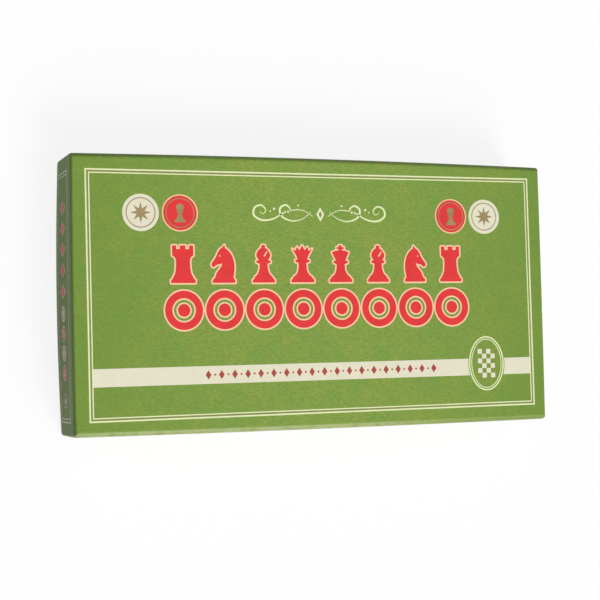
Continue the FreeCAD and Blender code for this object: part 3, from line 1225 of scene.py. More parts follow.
@dataclass
class Repeat:
    """A Geometry Nodes tree with named inputs, run once for each piece."""

    name: str
    inputs: dict[str, Any]

    def __post_init__(self) -> None:
        """Make the tree and its named inputs."""
        self.tree = bpy.data.node_groups.new(self.name, "GeometryNodeTree")
        kinds = {float: "NodeSocketFloat", int: "NodeSocketInt", tuple: "NodeSocketVector"}
        sockets = self.tree.interface
        self.keys: dict[str, str] = {}
        for label, value in self.inputs.items():
            kind = "NodeSocketObject" if value is None else kinds[type(value)]
            socket = sockets.new_socket(label, in_out="INPUT", socket_type=kind)
            self.keys[label] = socket.identifier
        sockets.new_socket("Geometry", in_out="OUTPUT", socket_type="NodeSocketGeometry")
        self.graph = Graph(self.tree)
        self.given = self.graph.node("NodeGroupInput")

    def get(self, label: str) -> Signal:
        """Return one of the named inputs."""
        return self.given.out(label)

    def vector(self, x: Any = 0.0, y: Any = 0.0, z: Any = 0.0) -> Signal:
        """Join three numbers in a vector."""
        return self.graph.node("ShaderNodeCombineXYZ", None, {0: x, 1: y, 2: z})

    def row(self, count: Any, start: Any, step: Signal) -> Signal:
        """Return points in a straight row."""
        return self.graph.node(
            "GeometryNodeMeshLine", None, {"Count": count, "Start Location": start, "Offset": step}
        )

    def plate(self, corners: int, radius: Any, depth: Any) -> Signal:
        """Return a flat plate with equal sides."""
        return self.graph.node(
            "GeometryNodeMeshCylinder", None,
            {"Vertices": corners, "Radius": radius, "Depth": depth},
        )

    def at_points(self, points: Signal, shape: Signal, **sockets: Any) -> Signal:
        """Set a shape on every point, with more sockets by their names."""
        return self.graph.node(
            "GeometryNodeInstanceOnPoints", None, {"Points": points, "Instance": shape, **sockets}
        )

    def joined(self, *shapes: Signal) -> Signal:
        """Put shapes together."""
        return self.graph.node("GeometryNodeJoinGeometry", None, {0: list(shapes)})

    def moved(self, shape: Signal, way: Signal) -> Signal:
        """Move a shape."""
        return self.graph.node(
            "GeometryNodeTransform", None, {"Geometry": shape, "Translation": way}
        )

    def swept(self, section: Signal, steps: Any, radius: Any) -> Signal:
        """Sweep a section round a circle.

        Args:
            section: Section as a curve.
            steps: Points on the circle.
            radius: Radius of the circle.

        Returns:
            The swept shape.
        """
        path = self.graph.node(
            "GeometryNodeCurvePrimitiveCircle", None, {"Resolution": steps, "Radius": radius}
        )
        return self.graph.node(
            "GeometryNodeCurveToMesh", None, {"Curve": path, "Profile Curve": section}
        )

    def close(self, geometry: Signal, finish: Finish) -> None:
        """End the tree.

        Args:
            geometry: What the tree has made.
            finish: Finish that it takes.
        """
        real = self.graph.node("GeometryNodeRealizeInstances", None, {0: geometry})
        dressed = self.graph.node(
            "GeometryNodeSetMaterial", None, {"Geometry": real, "Material": finish.material()}
        )
        self.graph.node("NodeGroupOutput", None, {0: dressed})

    def run(self, values: dict[str, Any]) -> bpy.types.Mesh:
        """Evaluate the tree.

        Args:
            values: Inputs that differ from the defaults.

        Returns:
            The result as a plain mesh with its faces outwards.
        """
        holder = new_object(self.name, bpy.data.meshes.new(self.name))
        modifier = holder.modifiers.new(self.name, "NODES")
        modifier.node_group = self.tree
        for label, value in {**self.inputs, **values}.items():
            modifier[self.keys[label]] = value
        graph = bpy.context.evaluated_depsgraph_get()
        made = bpy.data.meshes.new_from_object(holder.evaluated_get(graph))
        holder.modifiers.remove(modifier)
        bpy.data.objects.remove(holder)
        form = bmesh.new()
        form.from_mesh(made)
        bmesh.ops.remove_doubles(form, verts=form.verts[:], dist=WELD)
        return to_mesh(self.name, form)


def mark_row(finish: Finish) -> Repeat:
    """Make the tree for a row of lozenges with a dot after each.

    Args:
        finish: Finish of the marks.

    Returns:
        The tree.
    """
    tree = Repeat("mark_row", {
        "Count": 1, "Start": (0.0, 0.0, 0.0), "Pitch": 0.01, "Rise": 0.0,
        "Mark Size": (0.001, 0.001, 0.001), "Dot Radius": 0.0005, "Film": 0.0001,
    })
    count, start = tree.get("Count"), tree.get("Start")
    step = tree.vector(tree.get("Pitch"), tree.get("Rise"))
    between = tree.graph.node("ShaderNodeVectorMath", {"operation": "MULTIPLY_ADD"}, {
        0: step, 1: (0.5, 0.5, 0.5), 2: start,
    })
    mark = tree.plate(LOZENGE_SIDES, 1.0, 1.0)
    marks = tree.at_points(tree.row(count, start, step), mark, Scale=tree.get("Mark Size"))
    dot = tree.plate(DOT_SIDES, tree.get("Dot Radius"), tree.get("Film"))
    dots = tree.at_points(tree.row(count - 1.0, between, step), dot)
    tree.close(tree.joined(marks, dots), finish)
    return tree


def roundel_row(finish: Finish) -> Repeat:
    """Make the tree for a row of flat draughts roundels, each a ring round a spot.

    Args:
        finish: Finish of the roundels.

    Returns:
        The tree.
    """
    tree = Repeat("roundel_row", {
        "Count": 1, "Start": (0.0, 0.0, 0.0), "Pitch": 0.01, "Rise": 0.0,
        "Ring Radius": 0.001, "Ring Width": 0.001, "Spot Radius": 0.001, "Film": 0.0001,
    })
    step = tree.vector(tree.get("Pitch"), tree.get("Rise"))
    section = tree.graph.node("GeometryNodeCurvePrimitiveQuadrilateral", None, {
        "Width": tree.get("Ring Width"), "Height": tree.get("Film"),
    })
    hoop = tree.swept(section, HOOP_STEPS, tree.get("Ring Radius"))
    spot = tree.plate(SPOT_SIDES, tree.get("Spot Radius"), tree.get("Film"))
    places = tree.row(tree.get("Count"), tree.get("Start"), step)
    tree.close(tree.at_points(places, tree.joined(hoop, spot)), finish)
    return tree


def chequer_patch(finish: Finish) -> Repeat:
    """Make the tree for a chequered patch.

    Args:
        finish: Finish of the squares.

    Returns:
        The tree.
    """
    tree = Repeat("chequer_patch", {
        "Columns": 2, "Rows": 2, "Square": 0.001, "Film": 0.0001, "Centre": (0.0, 0.0, 0.0),
    })
    columns, rows, side = tree.get("Columns"), tree.get("Rows"), tree.get("Square")
    grid = tree.graph.node("GeometryNodeMeshGrid", None, {
        "Size X": (columns - 1.0) * side, "Size Y": (rows - 1.0) * side,
        "Vertices X": columns, "Vertices Y": rows,
    })
    index = tree.graph.node("GeometryNodeInputIndex")
    across = (index / rows).floor()
    odd = (across + (index - across * rows)).odd()
    size = tree.vector(side, side, tree.get("Film"))
    tile = tree.graph.node("GeometryNodeMeshCube", None, {"Size": size})
    tiles = tree.at_points(grid, tile, Selection=odd)
    tree.close(tree.moved(tiles, tree.get("Centre")), finish)
    return tree


def text_bars(finish: Finish) -> Repeat:
    """Make the tree for a block of bars of uneven length in place of lines of text.

    Args:
        finish: Finish of the bars.

    Returns:
        The tree.
    """
    tree = Repeat("text_bars", {
        "Lines": 2, "Start": (0.0, 0.0, 0.0), "Line Pitch": 0.001, "Line Length": 0.01,
        "Line Height": 0.001, "Film": 0.0001,
    })
    length = tree.get("Line Length")
    step = tree.vector(0.0, 0.0 - tree.get("Line Pitch"))
    # Sockets 2 and 3 of this node are its least and greatest number, and 8 is its seed.
    share = tree.graph.node(
        "FunctionNodeRandomValue", {"data_type": "FLOAT"}, {2: SHORTEST_BAR, 3: 1.0, 8: BAR_SEED}
    ).out(1)
    size = tree.vector(length, tree.get("Line Height"), tree.get("Film"))
    bar = tree.graph.node("GeometryNodeMeshCube", None, {"Size": size})
    from_left = tree.moved(bar, tree.vector(length / 2.0))
    places = tree.row(tree.get("Lines"), tree.get("Start"), step)
    tree.close(tree.at_points(places, from_left, Scale=tree.vector(share, 1.0, 1.0)), finish)
    return tree


def turned_form(finish: Finish) -> Repeat:
    """Make the tree that turns a section about an upright axis.

    Args:
        finish: Finish of the turned piece.

    Returns:
        The tree.
    """
    tree = Repeat("turned_form", {"Section": None, "Steps": 64, "Centre": (0.0, 0.0, 0.0)})
    section = tree.graph.node("GeometryNodeObjectInfo", None, {"Object": tree.get("Section")})
    turned = tree.swept(section.out("Geometry"), tree.get("Steps"), AXIS_RADIUS)
    welded = tree.graph.node(
        "GeometryNodeMergeByDistance", None, {"Geometry": turned, "Distance": AXIS_WELD}
    )
    tree.close(tree.moved(welded, tree.get("Centre")), finish)
    return tree


# ------------------------------------------------------------------------ lid


class Side(Enum):
    """Walls of the box, each with its direction to the right and its direction out."""

    FRONT = ((1, 0), (0, -1))
    RIGHT = ((0, 1), (1, 0))
    BACK = ((-1, 0), (0, 1))
    LEFT = ((0, -1), (-1, 0))

    @property
    def along(self) -> Vector:
        """Direction to the right, seen from outside."""
        return Vector((*self.value[0], 0))

    @property
    def out(self) -> Vector:
        """Direction out of the box."""
        return Vector((*self.value[1], 0))

    @property
    def is_long(self) -> bool:
        """Whether this is one of the two long walls."""
        return self in (Side.FRONT, Side.BACK)


@dataclass
class Lid:
    """Lid of the box: grey board shell and printed wrap that is turned in."""

    length: float = 376.0
    width: float = 200.0
    rim: float = 1.0
    top: float = 47.0
    ceiling: float = 45.0
    fold: float = 2.2
    long_fold: float = 4.0
    fold_drop: float = 5.5
    fold_ease: float = 0.5
    corner: float = 2.2
    least_corner: float = 0.2
    paper: float = 0.25
    board: float = 1.75
    slip: float = 0.02
    turn_in: float = 15.0
    rim_round: float = 1.0
    board_foot: Span = (1.0, 1.3)
    board_lift: float = 0.4
    body: str = "lid"
    bow_at_rim: dict[Side, float] = field(default_factory=lambda: {
        Side.FRONT: 0.9, Side.RIGHT: 0.9, Side.BACK: 1.4, Side.LEFT: 2.1,
    })
    bow_at_fold: dict[Side, float] = field(default_factory=lambda: {
        Side.FRONT: 0.7, Side.RIGHT: 0.3, Side.BACK: 1.4, Side.LEFT: 0.5,
    })
    bow_power: float = 1.3
    long_steps: int = 28
    short_steps: int = 18
    corner_steps: int = 6
    fold_steps: int = 10
    wall_steps: int = 6
    rim_steps: int = 8

    @property
    def shoulder(self) -> float:
        """Level at which the top folds end and the walls begin."""
        return self.top - self.fold_drop

    def half(self, side: Side) -> tuple[float, float]:
        """Return a wall's straight half run and its distance from the middle.

        Args:
            side: Wall of the lid.

        Returns:
            Half run and distance.
        """
        run, depth = self.length / 2, self.width / 2
        if not side.is_long:
            run, depth = depth, run
        return run - self.corner, depth

    def bow(self, side: Side, along: float, level: float) -> float:
        """Return how far a wall stands out beyond a straight one.

        Args:
            side: Wall of the lid.
            along: Distance from the wall's middle.
            level: Height above the table.

        Returns:
            The bow in millimetres.
        """
        run, _ = self.half(side)
        share = max(-1.0, min(1.0, along / run))
        drop = max(0.0, min(1.0, (self.shoulder - level) / (self.shoulder - self.rim)))
        at_fold, at_rim = self.bow_at_fold[side], self.bow_at_rim[side]
        return (at_fold + (at_rim - at_fold) * drop**self.bow_power) * (1 - share * share)

    def ring(self, short: float, long: float, level: float) -> list[Vector]:
        """Return one ring round the lid.

        Args:
            short: Distance inside the outer face of the short walls.
            long: Distance inside the outer face of the long walls.
            level: Height above the table.

        Returns:
            The ring's points, anticlockwise from above.
        """
        points = []
        radius = max(self.corner - max(short, long), self.least_corner)
        for side, after in zip(Side, (*list(Side)[1:], Side.FRONT)):
            inset, beyond = (long, short) if side.is_long else (short, long)
            run, depth = self.half(side)
            run += self.corner - beyond - radius
            steps = self.long_steps if side.is_long else self.short_steps
            for along in evenly(-run, run, steps):
                out = depth - inset + self.bow(side, along, level)
                points.append(side.along * along + side.out * out)
            centre = side.along * run + side.out * (depth - inset - radius)
            for angle in evenly(0.0, math.pi / 2, self.corner_steps)[1:-1]:
                arm = side.out * math.cos(angle) + after.out * math.sin(angle)
                points.append(centre + arm * radius)
        return [point + Vector((0, 0, level)) for point in points]

    def over_fold(self, inset: float) -> list[Triple]:
        """Return the way over the top folds, from the top face down to the walls.

        Args:
            inset: Distance inside the outer face.

        Returns:
            Inset of the short walls, inset of the long walls and level of each ring.
        """
        folds = (self.fold, self.long_fold)
        way = [(*(fold + self.fold_ease for fold in folds), self.top - inset)]
        for angle in evenly(0.0, math.pi / 2, self.fold_steps):
            insets = (fold - (fold - inset) * math.sin(angle) for fold in folds)
            way.append((*insets, self.shoulder + (self.fold_drop - inset) * math.cos(angle)))
        return way + self.down_wall(inset, [self.shoulder - self.fold_ease])

    def down_wall(self, inset: float, levels: Iterable[float]) -> list[Triple]:
        """Return rings that are equally far inside all walls, one at each level."""
        return [(inset, inset, level) for level in levels]

    def build(self) -> None:
        """Make the wrap and the shell, and dress the lining."""
        thick = self.board + 2 * self.paper
        edge, turned = self.rim + self.rim_round, self.rim + self.turn_in
        levels = evenly(self.shoulder - self.fold_ease, edge, self.wall_steps)[1:]
        outer = self.over_fold(0.0) + self.down_wall(0.0, levels)
        inner = self.over_fold(self.paper) + self.down_wall(self.paper, levels)
        for angle in evenly(0.0, math.pi, self.rim_steps)[1:-1]:
            for way, half, drop in (
                (outer, thick / 2, self.rim_round),
                (inner, self.board / 2, self.rim_round - self.paper),
            ):
                inset = thick / 2 - half * math.cos(angle)
                way += self.down_wall(inset, [edge - drop * math.sin(angle)])
        outer += self.down_wall(thick, (edge, turned))
        outer += self.down_wall(thick - self.paper, [turned])
        inner += self.down_wall(thick - self.paper, [edge])
        wrap = loft("lid_cover", [self.ring(*spot) for spot in outer + inner[::-1]])
        enter("lid_cover", wrap, GREEN_WRAP, self.body, ["lid_wrap"])

        outside, inside = self.paper + self.slip, self.board + self.paper - self.slip
        hull = self.over_fold(outside) + self.down_wall(outside, levels)
        for inset in self.board_foot:
            hull += self.down_wall(inset, [self.rim + self.board_lift])
        hull += self.down_wall(inside, (*levels[::-1], self.ceiling))
        shell = loft("lid_board", [self.ring(*spot) for spot in hull])
        enter("lid_board", shell, GREY, self.body, ["lid_shell"])
        dress("lid_lining", LINING)


@dataclass
class TopPrint:
    """Print on the lid's top face, which sits slightly askew."""

    lid: Lid
    shift: Point = (-0.15, 0.27)
    askew: float = 0.0045
    row_lift: float = 0.02
    border_half: Point = (177.3, 89.35)
    border_widths: Triple = (1.15, 1.3, 0.85)
    band_levels: Span = (-64.75, -51.9)
    band_steps: int = 8
    medal: Point = (135.6, -55.8)
    medal_half: Point = (15.2, 21.3)
    medal_gap: float = 0.6
    medal_rings: tuple[Span, ...] = ((0.0, 1.1), (2.0, 0.7))
    chequer_count: tuple[int, int] = (4, 6)
    chequer_square: float = 3.7
    chequer_film: float = 0.08
    mark_count: int = 19
    mark_start: Point = (-90.0, -58.3)
    mark_pitch: float = 10.0
    mark_half: Point = (2.2, 3.3)
    mark_dot: float = 0.75
    mark_film: float = 0.12
    pitch: float = 30.6
    outline: float = 1.15
    figure_foot: float = 8.0
    figure_height: float = 27.6
    roundel_level: float = -11.6
    roundel_ring: float = 11.4
    roundel_width: float = 5.4
    roundel_spot: float = 4.6
    roundel_film: float = 0.11
    outline_film: float = 0.06
    corner_level: float = 58.5
    corner_outer: float = 137.5
    corner_inner: float = 108.5
    corner_radius: float = 13.4
    corner_red: float = 12.5
    corner_ring: Span = (10.9, 10.2)
    corner_steps: int = 56
    pawn_foot: float = 51.7
    pawn_height: float = 13.6
    star_radii: Span = (7.6, 3.1)
    star_tips: int = 8
    scrolls: tuple[tuple[Point, ...], ...] = (
        ((6, 57.2), (15, 61.8), (27, 60.4), (37, 55.2), (46, 54.0), (52.4, 57.6), (51.6, 63.2),
         (46.6, 65.0), (43.2, 61.8), (45.0, 58.8), (47.6, 60.2)),
        ((7.5, 60.4), (14, 55.4), (22.5, 53.6), (30.5, 56.8), (32.0, 62.6), (27.6, 65.4),
         (24.0, 62.8), (25.4, 60.0), (27.8, 61.0)),
    )
    scroll_thin: float = 0.45
    scroll_swell: float = 1.1
    scroll_dots: tuple[Triple, ...] = ((36.6, 62.4, 0.9), (39.6, 60.6, 0.6), (17.4, 65.2, 0.7))
    dot_steps: int = 16
    centre_spot: Point = (0.0, 58.6)
    centre_half: Point = (3.2, 5.4)
    centre_core: Point = (1.4, 2.6)

    def __post_init__(self) -> None:
        """Set out an empty film for each ink."""
        self.cream = self.film("cream_print", CREAM_INK)
        self.peach = self.film("outline_print", PEACH_INK)
        self.red = self.film("red_print", RED_INK)
        self.bronze = self.film("bronze_print", BRONZE_INK)
        self.lines = self.film("border_lines", LINE_INK)
        self.olive = self.film("olive_line", OLIVE_INK)
        self.first = -self.pitch * (len(BACK_RANK) - 1) / 2

    def film(self, name: str, ink: Ink) -> Film:
        """Return an empty film for the top face."""
        return Film(f"lid_{name}", ink, self.lid.body, self.place)

    def place(self, x: float, y: float, lift: float) -> Vector:
        """Return a place on the printed top face."""
        across, up = self.shift
        return Vector((x + across - self.askew * y, y + up + self.askew * x, self.lid.top + lift))

    def spot(self, x: float, y: float) -> tuple[float, ...]:
        """Return a place in metres, for a row or patch to start from."""
        return tuple(self.place(x, y, self.row_lift) * MM)

    def steps(self, pitch: float) -> dict[str, float]:
        """Return the step from mark to mark of a row."""
        return {"Pitch": pitch * MM, "Rise": pitch * self.askew * MM}

    def build(self) -> None:
        """Lay all the print."""
        reach = self.border()
        self.band(reach)
        self.medallion()
        self.figures()
        self.roundels()
        for mirror in (-1, 1):
            self.corner_pair(mirror)
            self.flourish(mirror)
        self.lines.add([lozenge(self.centre_spot, *self.centre_half)])
        self.bronze.add([lozenge(self.centre_spot, *self.centre_core)])
        for film in (self.cream, self.peach, self.red, self.bronze, self.lines, self.olive):
            film.build()
        self.band_marks()
        self.chequer()

    def border(self) -> float:
        """Lay the border of a pale, an olive and a pale line.

        Returns:
            Distance of the border's inner edge from the middle, along the lid.
        """
        half_x, half_y = self.border_half
        inset = 0.0
        for film, width in zip((self.lines, self.olive, self.lines), self.border_widths):
            film.add(frame_loops(half_x - inset, inset - half_y, half_y - inset, width))
            inset += width
        return half_x - inset

    def band(self, reach: float) -> None:
        """Lay the cream band, left open round the medallion.

        Args:
            reach: Distance of the band's ends from the middle.
        """
        low, high = self.band_levels
        x, y = self.medal
        across, tall = (half + self.medal_gap for half in self.medal_half)
        for sign in (-1, 1):
            edge = [
                (x + sign * across * math.sqrt(1 - ((level - y) / tall) ** 2), level)
                for level in evenly(low, high, self.band_steps)
            ]
            self.cream.add([[(sign * reach, low), *edge, (sign * reach, high)]])

    def medallion(self) -> None:
        """Lay the rings of the oval medallion."""
        across, tall = self.medal_half
        for inset, width in self.medal_rings:
            outer = across - inset
            self.lines.add(ring(self.medal, outer, outer - width, (tall - inset) / outer))

    def figures(self) -> None:
        """Lay the row of chess signs and their outlines."""
        for index, sign in enumerate(BACK_RANK):
            middle = self.first + self.pitch * index
            loops = FIGURES[sign].loops((middle, self.figure_foot), self.figure_height)
            if sign is Sign.KNIGHT and index > len(BACK_RANK) // 2:
                loops = [[(2 * middle - x, y) for x, y in loop] for loop in loops]
            self.red.add(loops, Fill.WITH_GAPS)
            self.peach.add(grown(loops[:1], self.outline))

    def roundels(self) -> None:
        """Lay the row of draughts roundels over their outlines."""
        for name, ink, margin, film in (
            ("lid_roundel_outlines", PEACH_INK, self.outline, self.outline_film),
            ("lid_roundels", RED_INK, 0.0, self.roundel_film),
        ):
            mesh = roundel_row(ink).run({
                "Count": len(BACK_RANK), "Start": self.spot(self.first, self.roundel_level),
                **self.steps(self.pitch), "Ring Radius": self.roundel_ring * MM,
                "Ring Width": (self.roundel_width + 2 * margin) * MM,
                "Spot Radius": (self.roundel_spot + margin) * MM, "Film": film * MM,
            })
            enter(name, mesh, ink, self.lid.body)

    def corner_pair(self, mirror: int) -> None:
        """Lay a pair of roundels in an upper corner.

        Args:
            mirror: -1 for the left corner and 1 for the right.
        """
        outer, inner = (
            (x * mirror, self.corner_level) for x in (self.corner_outer, self.corner_inner)
        )
        for film, spot in ((self.cream, outer), (self.peach, inner)):
            film.add([circle(spot, self.corner_radius, self.corner_steps)])
            self.bronze.add(ring(spot, *self.corner_ring))
        self.red.add([circle(inner, self.corner_red, self.corner_steps)])
        self.bronze.add(FIGURES[Sign.PAWN].loops((inner[0], self.pawn_foot), self.pawn_height))
        self.bronze.add([star(outer, *self.star_radii, self.star_tips)])

    def flourish(self, mirror: int) -> None:
        """Lay one half of the scroll between the corner roundels.

        Args:
            mirror: -1 for the left half and 1 for the right.
        """
        for knots in self.scrolls:
            line = curve_through([(mirror * x, y, 1) for x, y in knots], closed=False)
            self.lines.add(stroke(line, self.scroll_width))
        for x, y, radius in self.scroll_dots:
            self.lines.add([circle((mirror * x, y), radius, self.dot_steps)])

    def scroll_width(self, share: float) -> float:
        """Return the scroll's width at a share of the way along it."""
        return self.scroll_thin + self.scroll_swell * math.sin(math.pi * share) ** 2

    def band_marks(self) -> None:
        """Lay the row of lozenges and dots on the band."""
        marks = mark_row(DARK_RED_INK).run({
            "Count": self.mark_count, "Start": self.spot(*self.mark_start),
            **self.steps(self.mark_pitch),
            "Mark Size": tuple(size * MM for size in (*self.mark_half, self.mark_film)),
            "Dot Radius": self.mark_dot * MM, "Film": self.mark_film * MM,
        })
        enter("lid_band_marks", marks, DARK_RED_INK, self.lid.body)

    def chequer(self) -> None:
        """Lay the chequered patch in the medallion."""
        columns, rows = self.chequer_count
        patch = chequer_patch(CREAM_INK).run({
            "Columns": columns, "Rows": rows, "Square": self.chequer_square * MM,
            "Film": self.chequer_film * MM, "Centre": self.spot(*self.medal),
        })
        enter("lid_medal_chequer", patch, CREAM_INK, self.lid.body)


@dataclass
class WallPrint:
    """Frame and small marks printed on one wall of the lid."""

    lid: Lid
    side: Side
    shift: float = 0.7
    slices: float = 7.0
    long_half: float = 179.0
    short_half: float = 89.6
    levels: Span = (6.9, 37.2)
    middle: float = 21.8
    line: float = 1.2
    inner_line: Span = (2.6, 3.5)
    pitch: float = 15.0
    long_count: int = 11
    short_count: int = 5
    short_shift: float = -34.0
    lozenge_half: Point = (4.4, 6.6)
    outline: float = 0.8
    roundels: tuple[float, ...] = (12.0, 26.0, 40.0, 54.0)
    long_shift: float = 88.0
    roundel_radius: float = 5.9
    roundel_steps: int = 32
    full_ring: Span = (5.0, 2.7)
    full_spot: float = 1.5
    spot_steps: int = 20
    thin_ring: Span = (3.9, 3.3)
    oval_x: float = 74.0
    oval_ring: Span = (5.2, 4.5)
    oval_rise: float = 1.35
    oval_core: Point = (2.6, 3.8)

    def __post_init__(self) -> None:
        """Set out an empty film for each ink."""
        name = f"lid_{self.side.name.lower()}"
        self.cream, self.red = (
            Film(f"{name}_{colour}_print", ink, self.lid.body, self.place, slices=self.slices)
            for colour, ink in (("cream", CREAM_INK), ("red", RED_INK))
        )

    def place(self, along: float, level: float, lift: float) -> Vector:
        """Return a place on the wall's bowed face.

        Args:
            along: Distance from the middle of the print.
            level: Height above the table.
            lift: Distance out of the face.

        Returns:
            The place in millimetres.
        """
        side = self.side
        along += self.shift
        out = self.lid.half(side)[1] + self.lid.bow(side, along, level) + lift
        return side.along * along + side.out * out + Vector((0, 0, level))

    def build(self) -> None:
        """Lay all the print."""
        self.edging()
        self.lozenges()
        self.roundel_pairs()
        if not self.side.is_long:
            spot = (self.oval_x, self.middle)
            self.cream.add(ring(spot, *self.oval_ring, self.oval_rise))
            self.cream.add([lozenge(spot, *self.oval_core)])
        for film in (self.cream, self.red):
            film.build()

    def edging(self) -> None:
        """Lay the frame, which is double at both ends."""
        half = self.long_half if self.side.is_long else self.short_half
        low, high = self.levels
        self.cream.add(frame_loops(half, low, high, self.line))
        for sign in (-1, 1):
            near, far = sorted(sign * (half - inset) for inset in self.inner_line)
            self.cream.add([box_loop(near, low + self.line, far, high - self.line)])

    def lozenges(self) -> None:
        """Lay the row of outlined lozenges."""
        count, shift = (
            (self.long_count, 0.0) if self.side.is_long else (self.short_count, self.short_shift)
        )
        first = -self.pitch * (count - 1) / 2 + shift
        for index in range(count):
            shape = lozenge((first + self.pitch * index, self.middle), *self.lozenge_half)
            self.red.add([shape])
            self.cream.add(grown([shape], self.outline))

    def roundel_pairs(self) -> None:
        """Lay the roundels, thin and full by turns."""
        row = self.roundels
        if self.side.is_long:
            right = [x + self.long_shift for x in row]
            row = (*(-x for x in reversed(right)), *right)
        for index, x in enumerate(row):
            spot = (x, self.middle)
            self.cream.add([circle(spot, self.roundel_radius, self.roundel_steps)])
            if index % 2:
                self.red.add(ring(spot, *self.full_ring))
                self.red.add([circle(spot, self.full_spot, self.spot_steps)])
            else:
                self.red.add(ring(spot, *self.thin_ring))


# ----------------------------------------------------------- tray and contents


@dataclass
class Tray:
    """Tray of the box with its divided insert."""

    cross_dividers: int = 7
    long_dividers: int = 3

    def dress(self) -> None:
        """Give every piece its finish."""
        dress("tray_shell", GREY)
        dress("tray_wrap", PLAIN_WRAP)
        dress("tray_base_sheet", PLAIN_WRAP)
        dress("tray_floor_lining", LINING)
        dress("insert_carton", CARD)
        for way, count in (("long", self.long_dividers), ("cross", self.cross_dividers)):
            for index in range(count):
                dress(f"{way}_divider_{index + 1}", CARD)


@dataclass
class FoldingBoard:
    """Board of two leaves, joined by a strip of woven cloth."""

    fold_y: float = -92.5
    fold_z: float = 41.5
    cloth_half: float = 5.0
    half_length: float = 177.0
    cloth: float = 0.1
    nose: float = 0.2
    bend_share: float = 0.9
    flat_steps: int = 4
    nose_steps: int = 12
    length_steps: int = 40
    lower: str = "board_lower"
    upper: str = "board_upper"

    def build(self) -> None:
        """Dress the leaves and make the hinge strip."""
        for leaf, squares in (("lower", LOWER_SQUARES), ("upper", UPPER_SQUARES)):
            dress(f"{leaf}_leaf_core", GREY)
            dress(f"{leaf}_leaf_wrap", BACK)
            dress(f"{leaf}_play_sheet", squares)
        self.hinge()

    def section(self) -> list[Point]:
        """Return the closed outline of the folded strip, across the fold.

        Returns:
            Pairs of distance across and level.
        """
        outside, inside = [], []
        flat = evenly(0.0, self.cloth_half, self.flat_steps)[1:]
        for offset, way in ((self.nose, outside), (self.nose - self.cloth, inside)):
            way += [(across, -offset) for across in reversed(flat)]
            for angle in evenly(0.0, math.pi, self.nose_steps):
                way.append((-offset * math.sin(angle), -offset * math.cos(angle)))
            way += [(across, offset) for across in flat]
        return outside + inside[::-1]

    def hinge(self) -> None:
        """Make the hinge strip, folded round from one leaf to the other."""
        outline = self.section()
        rings = []
        for x in evenly(-self.half_length, self.half_length, self.length_steps):
            rings.append([Vector((x, self.fold_y + y, self.fold_z + z)) for y, z in outline])
        strip = enter("hinge_strip", loft("hinge_strip", rings), HINGE, None, ["hinge_cloth"])
        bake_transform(strip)
        2 * self.half_length * MM


@dataclass
class Leaflet:
    """Folded rules leaflet with bars in place of text."""

    top: float = 44.5
    lift: float = 0.02
    half_length: float = 105.0
    half_width: float = 74.0
    margin: float = 14.0
    film: float = 0.08
    heading_lines: int = 2
    heading_length: float = 120.0
    heading_height: float = 4.2
    heading_pitch: float = 8.0
    column_drop: float = 20.0
    column_length: float = 84.0
    line_height: float = 1.5
    line_pitch: float = 4.6
    left_lines: int = 21
    right_lines: int = 9
    right_start: float = 7.0
    diagram_count: int = 8
    diagram_square: float = 5.4
    diagram_centre: Point = (49.0, -35.0)
    body: str = "leaflet"

    def spot(self, x: float, y: float) -> Triple:
        """Return a place on the leaflet's face in metres."""
        return (x * MM, y * MM, (self.top + self.lift) * MM)

    def build(self) -> None:
        """Dress the sheet and lay its print."""
        dress("rules_leaflet", LEAF)
        bars = text_bars(LEAF_INK)
        left, high = self.margin - self.half_length, self.half_width - self.margin
        low = high - self.column_drop
        large = (self.heading_length, self.heading_height, self.heading_pitch)
        small = (self.column_length, self.line_height, self.line_pitch)
        for name, lines, start, (length, height, pitch) in (
            ("heading", self.heading_lines, (left, high), large),
            ("left_column", self.left_lines, (left, low), small),
            ("right_column", self.right_lines, (self.right_start, low), small),
        ):
            mesh = bars.run({
                "Lines": lines, "Start": self.spot(*start), "Line Length": length * MM,
                "Line Height": height * MM, "Line Pitch": pitch * MM, "Film": self.film * MM,
            })
            enter(f"leaflet_{name}", mesh, LEAF_INK, self.body)
        diagram = chequer_patch(LEAF_INK).run({
            "Columns": self.diagram_count, "Rows": self.diagram_count,
            "Square": self.diagram_square * MM, "Film": self.film * MM,
            "Centre": self.spot(*self.diagram_centre),
        })
        enter("leaflet_diagram", diagram, LEAF_INK, self.body)


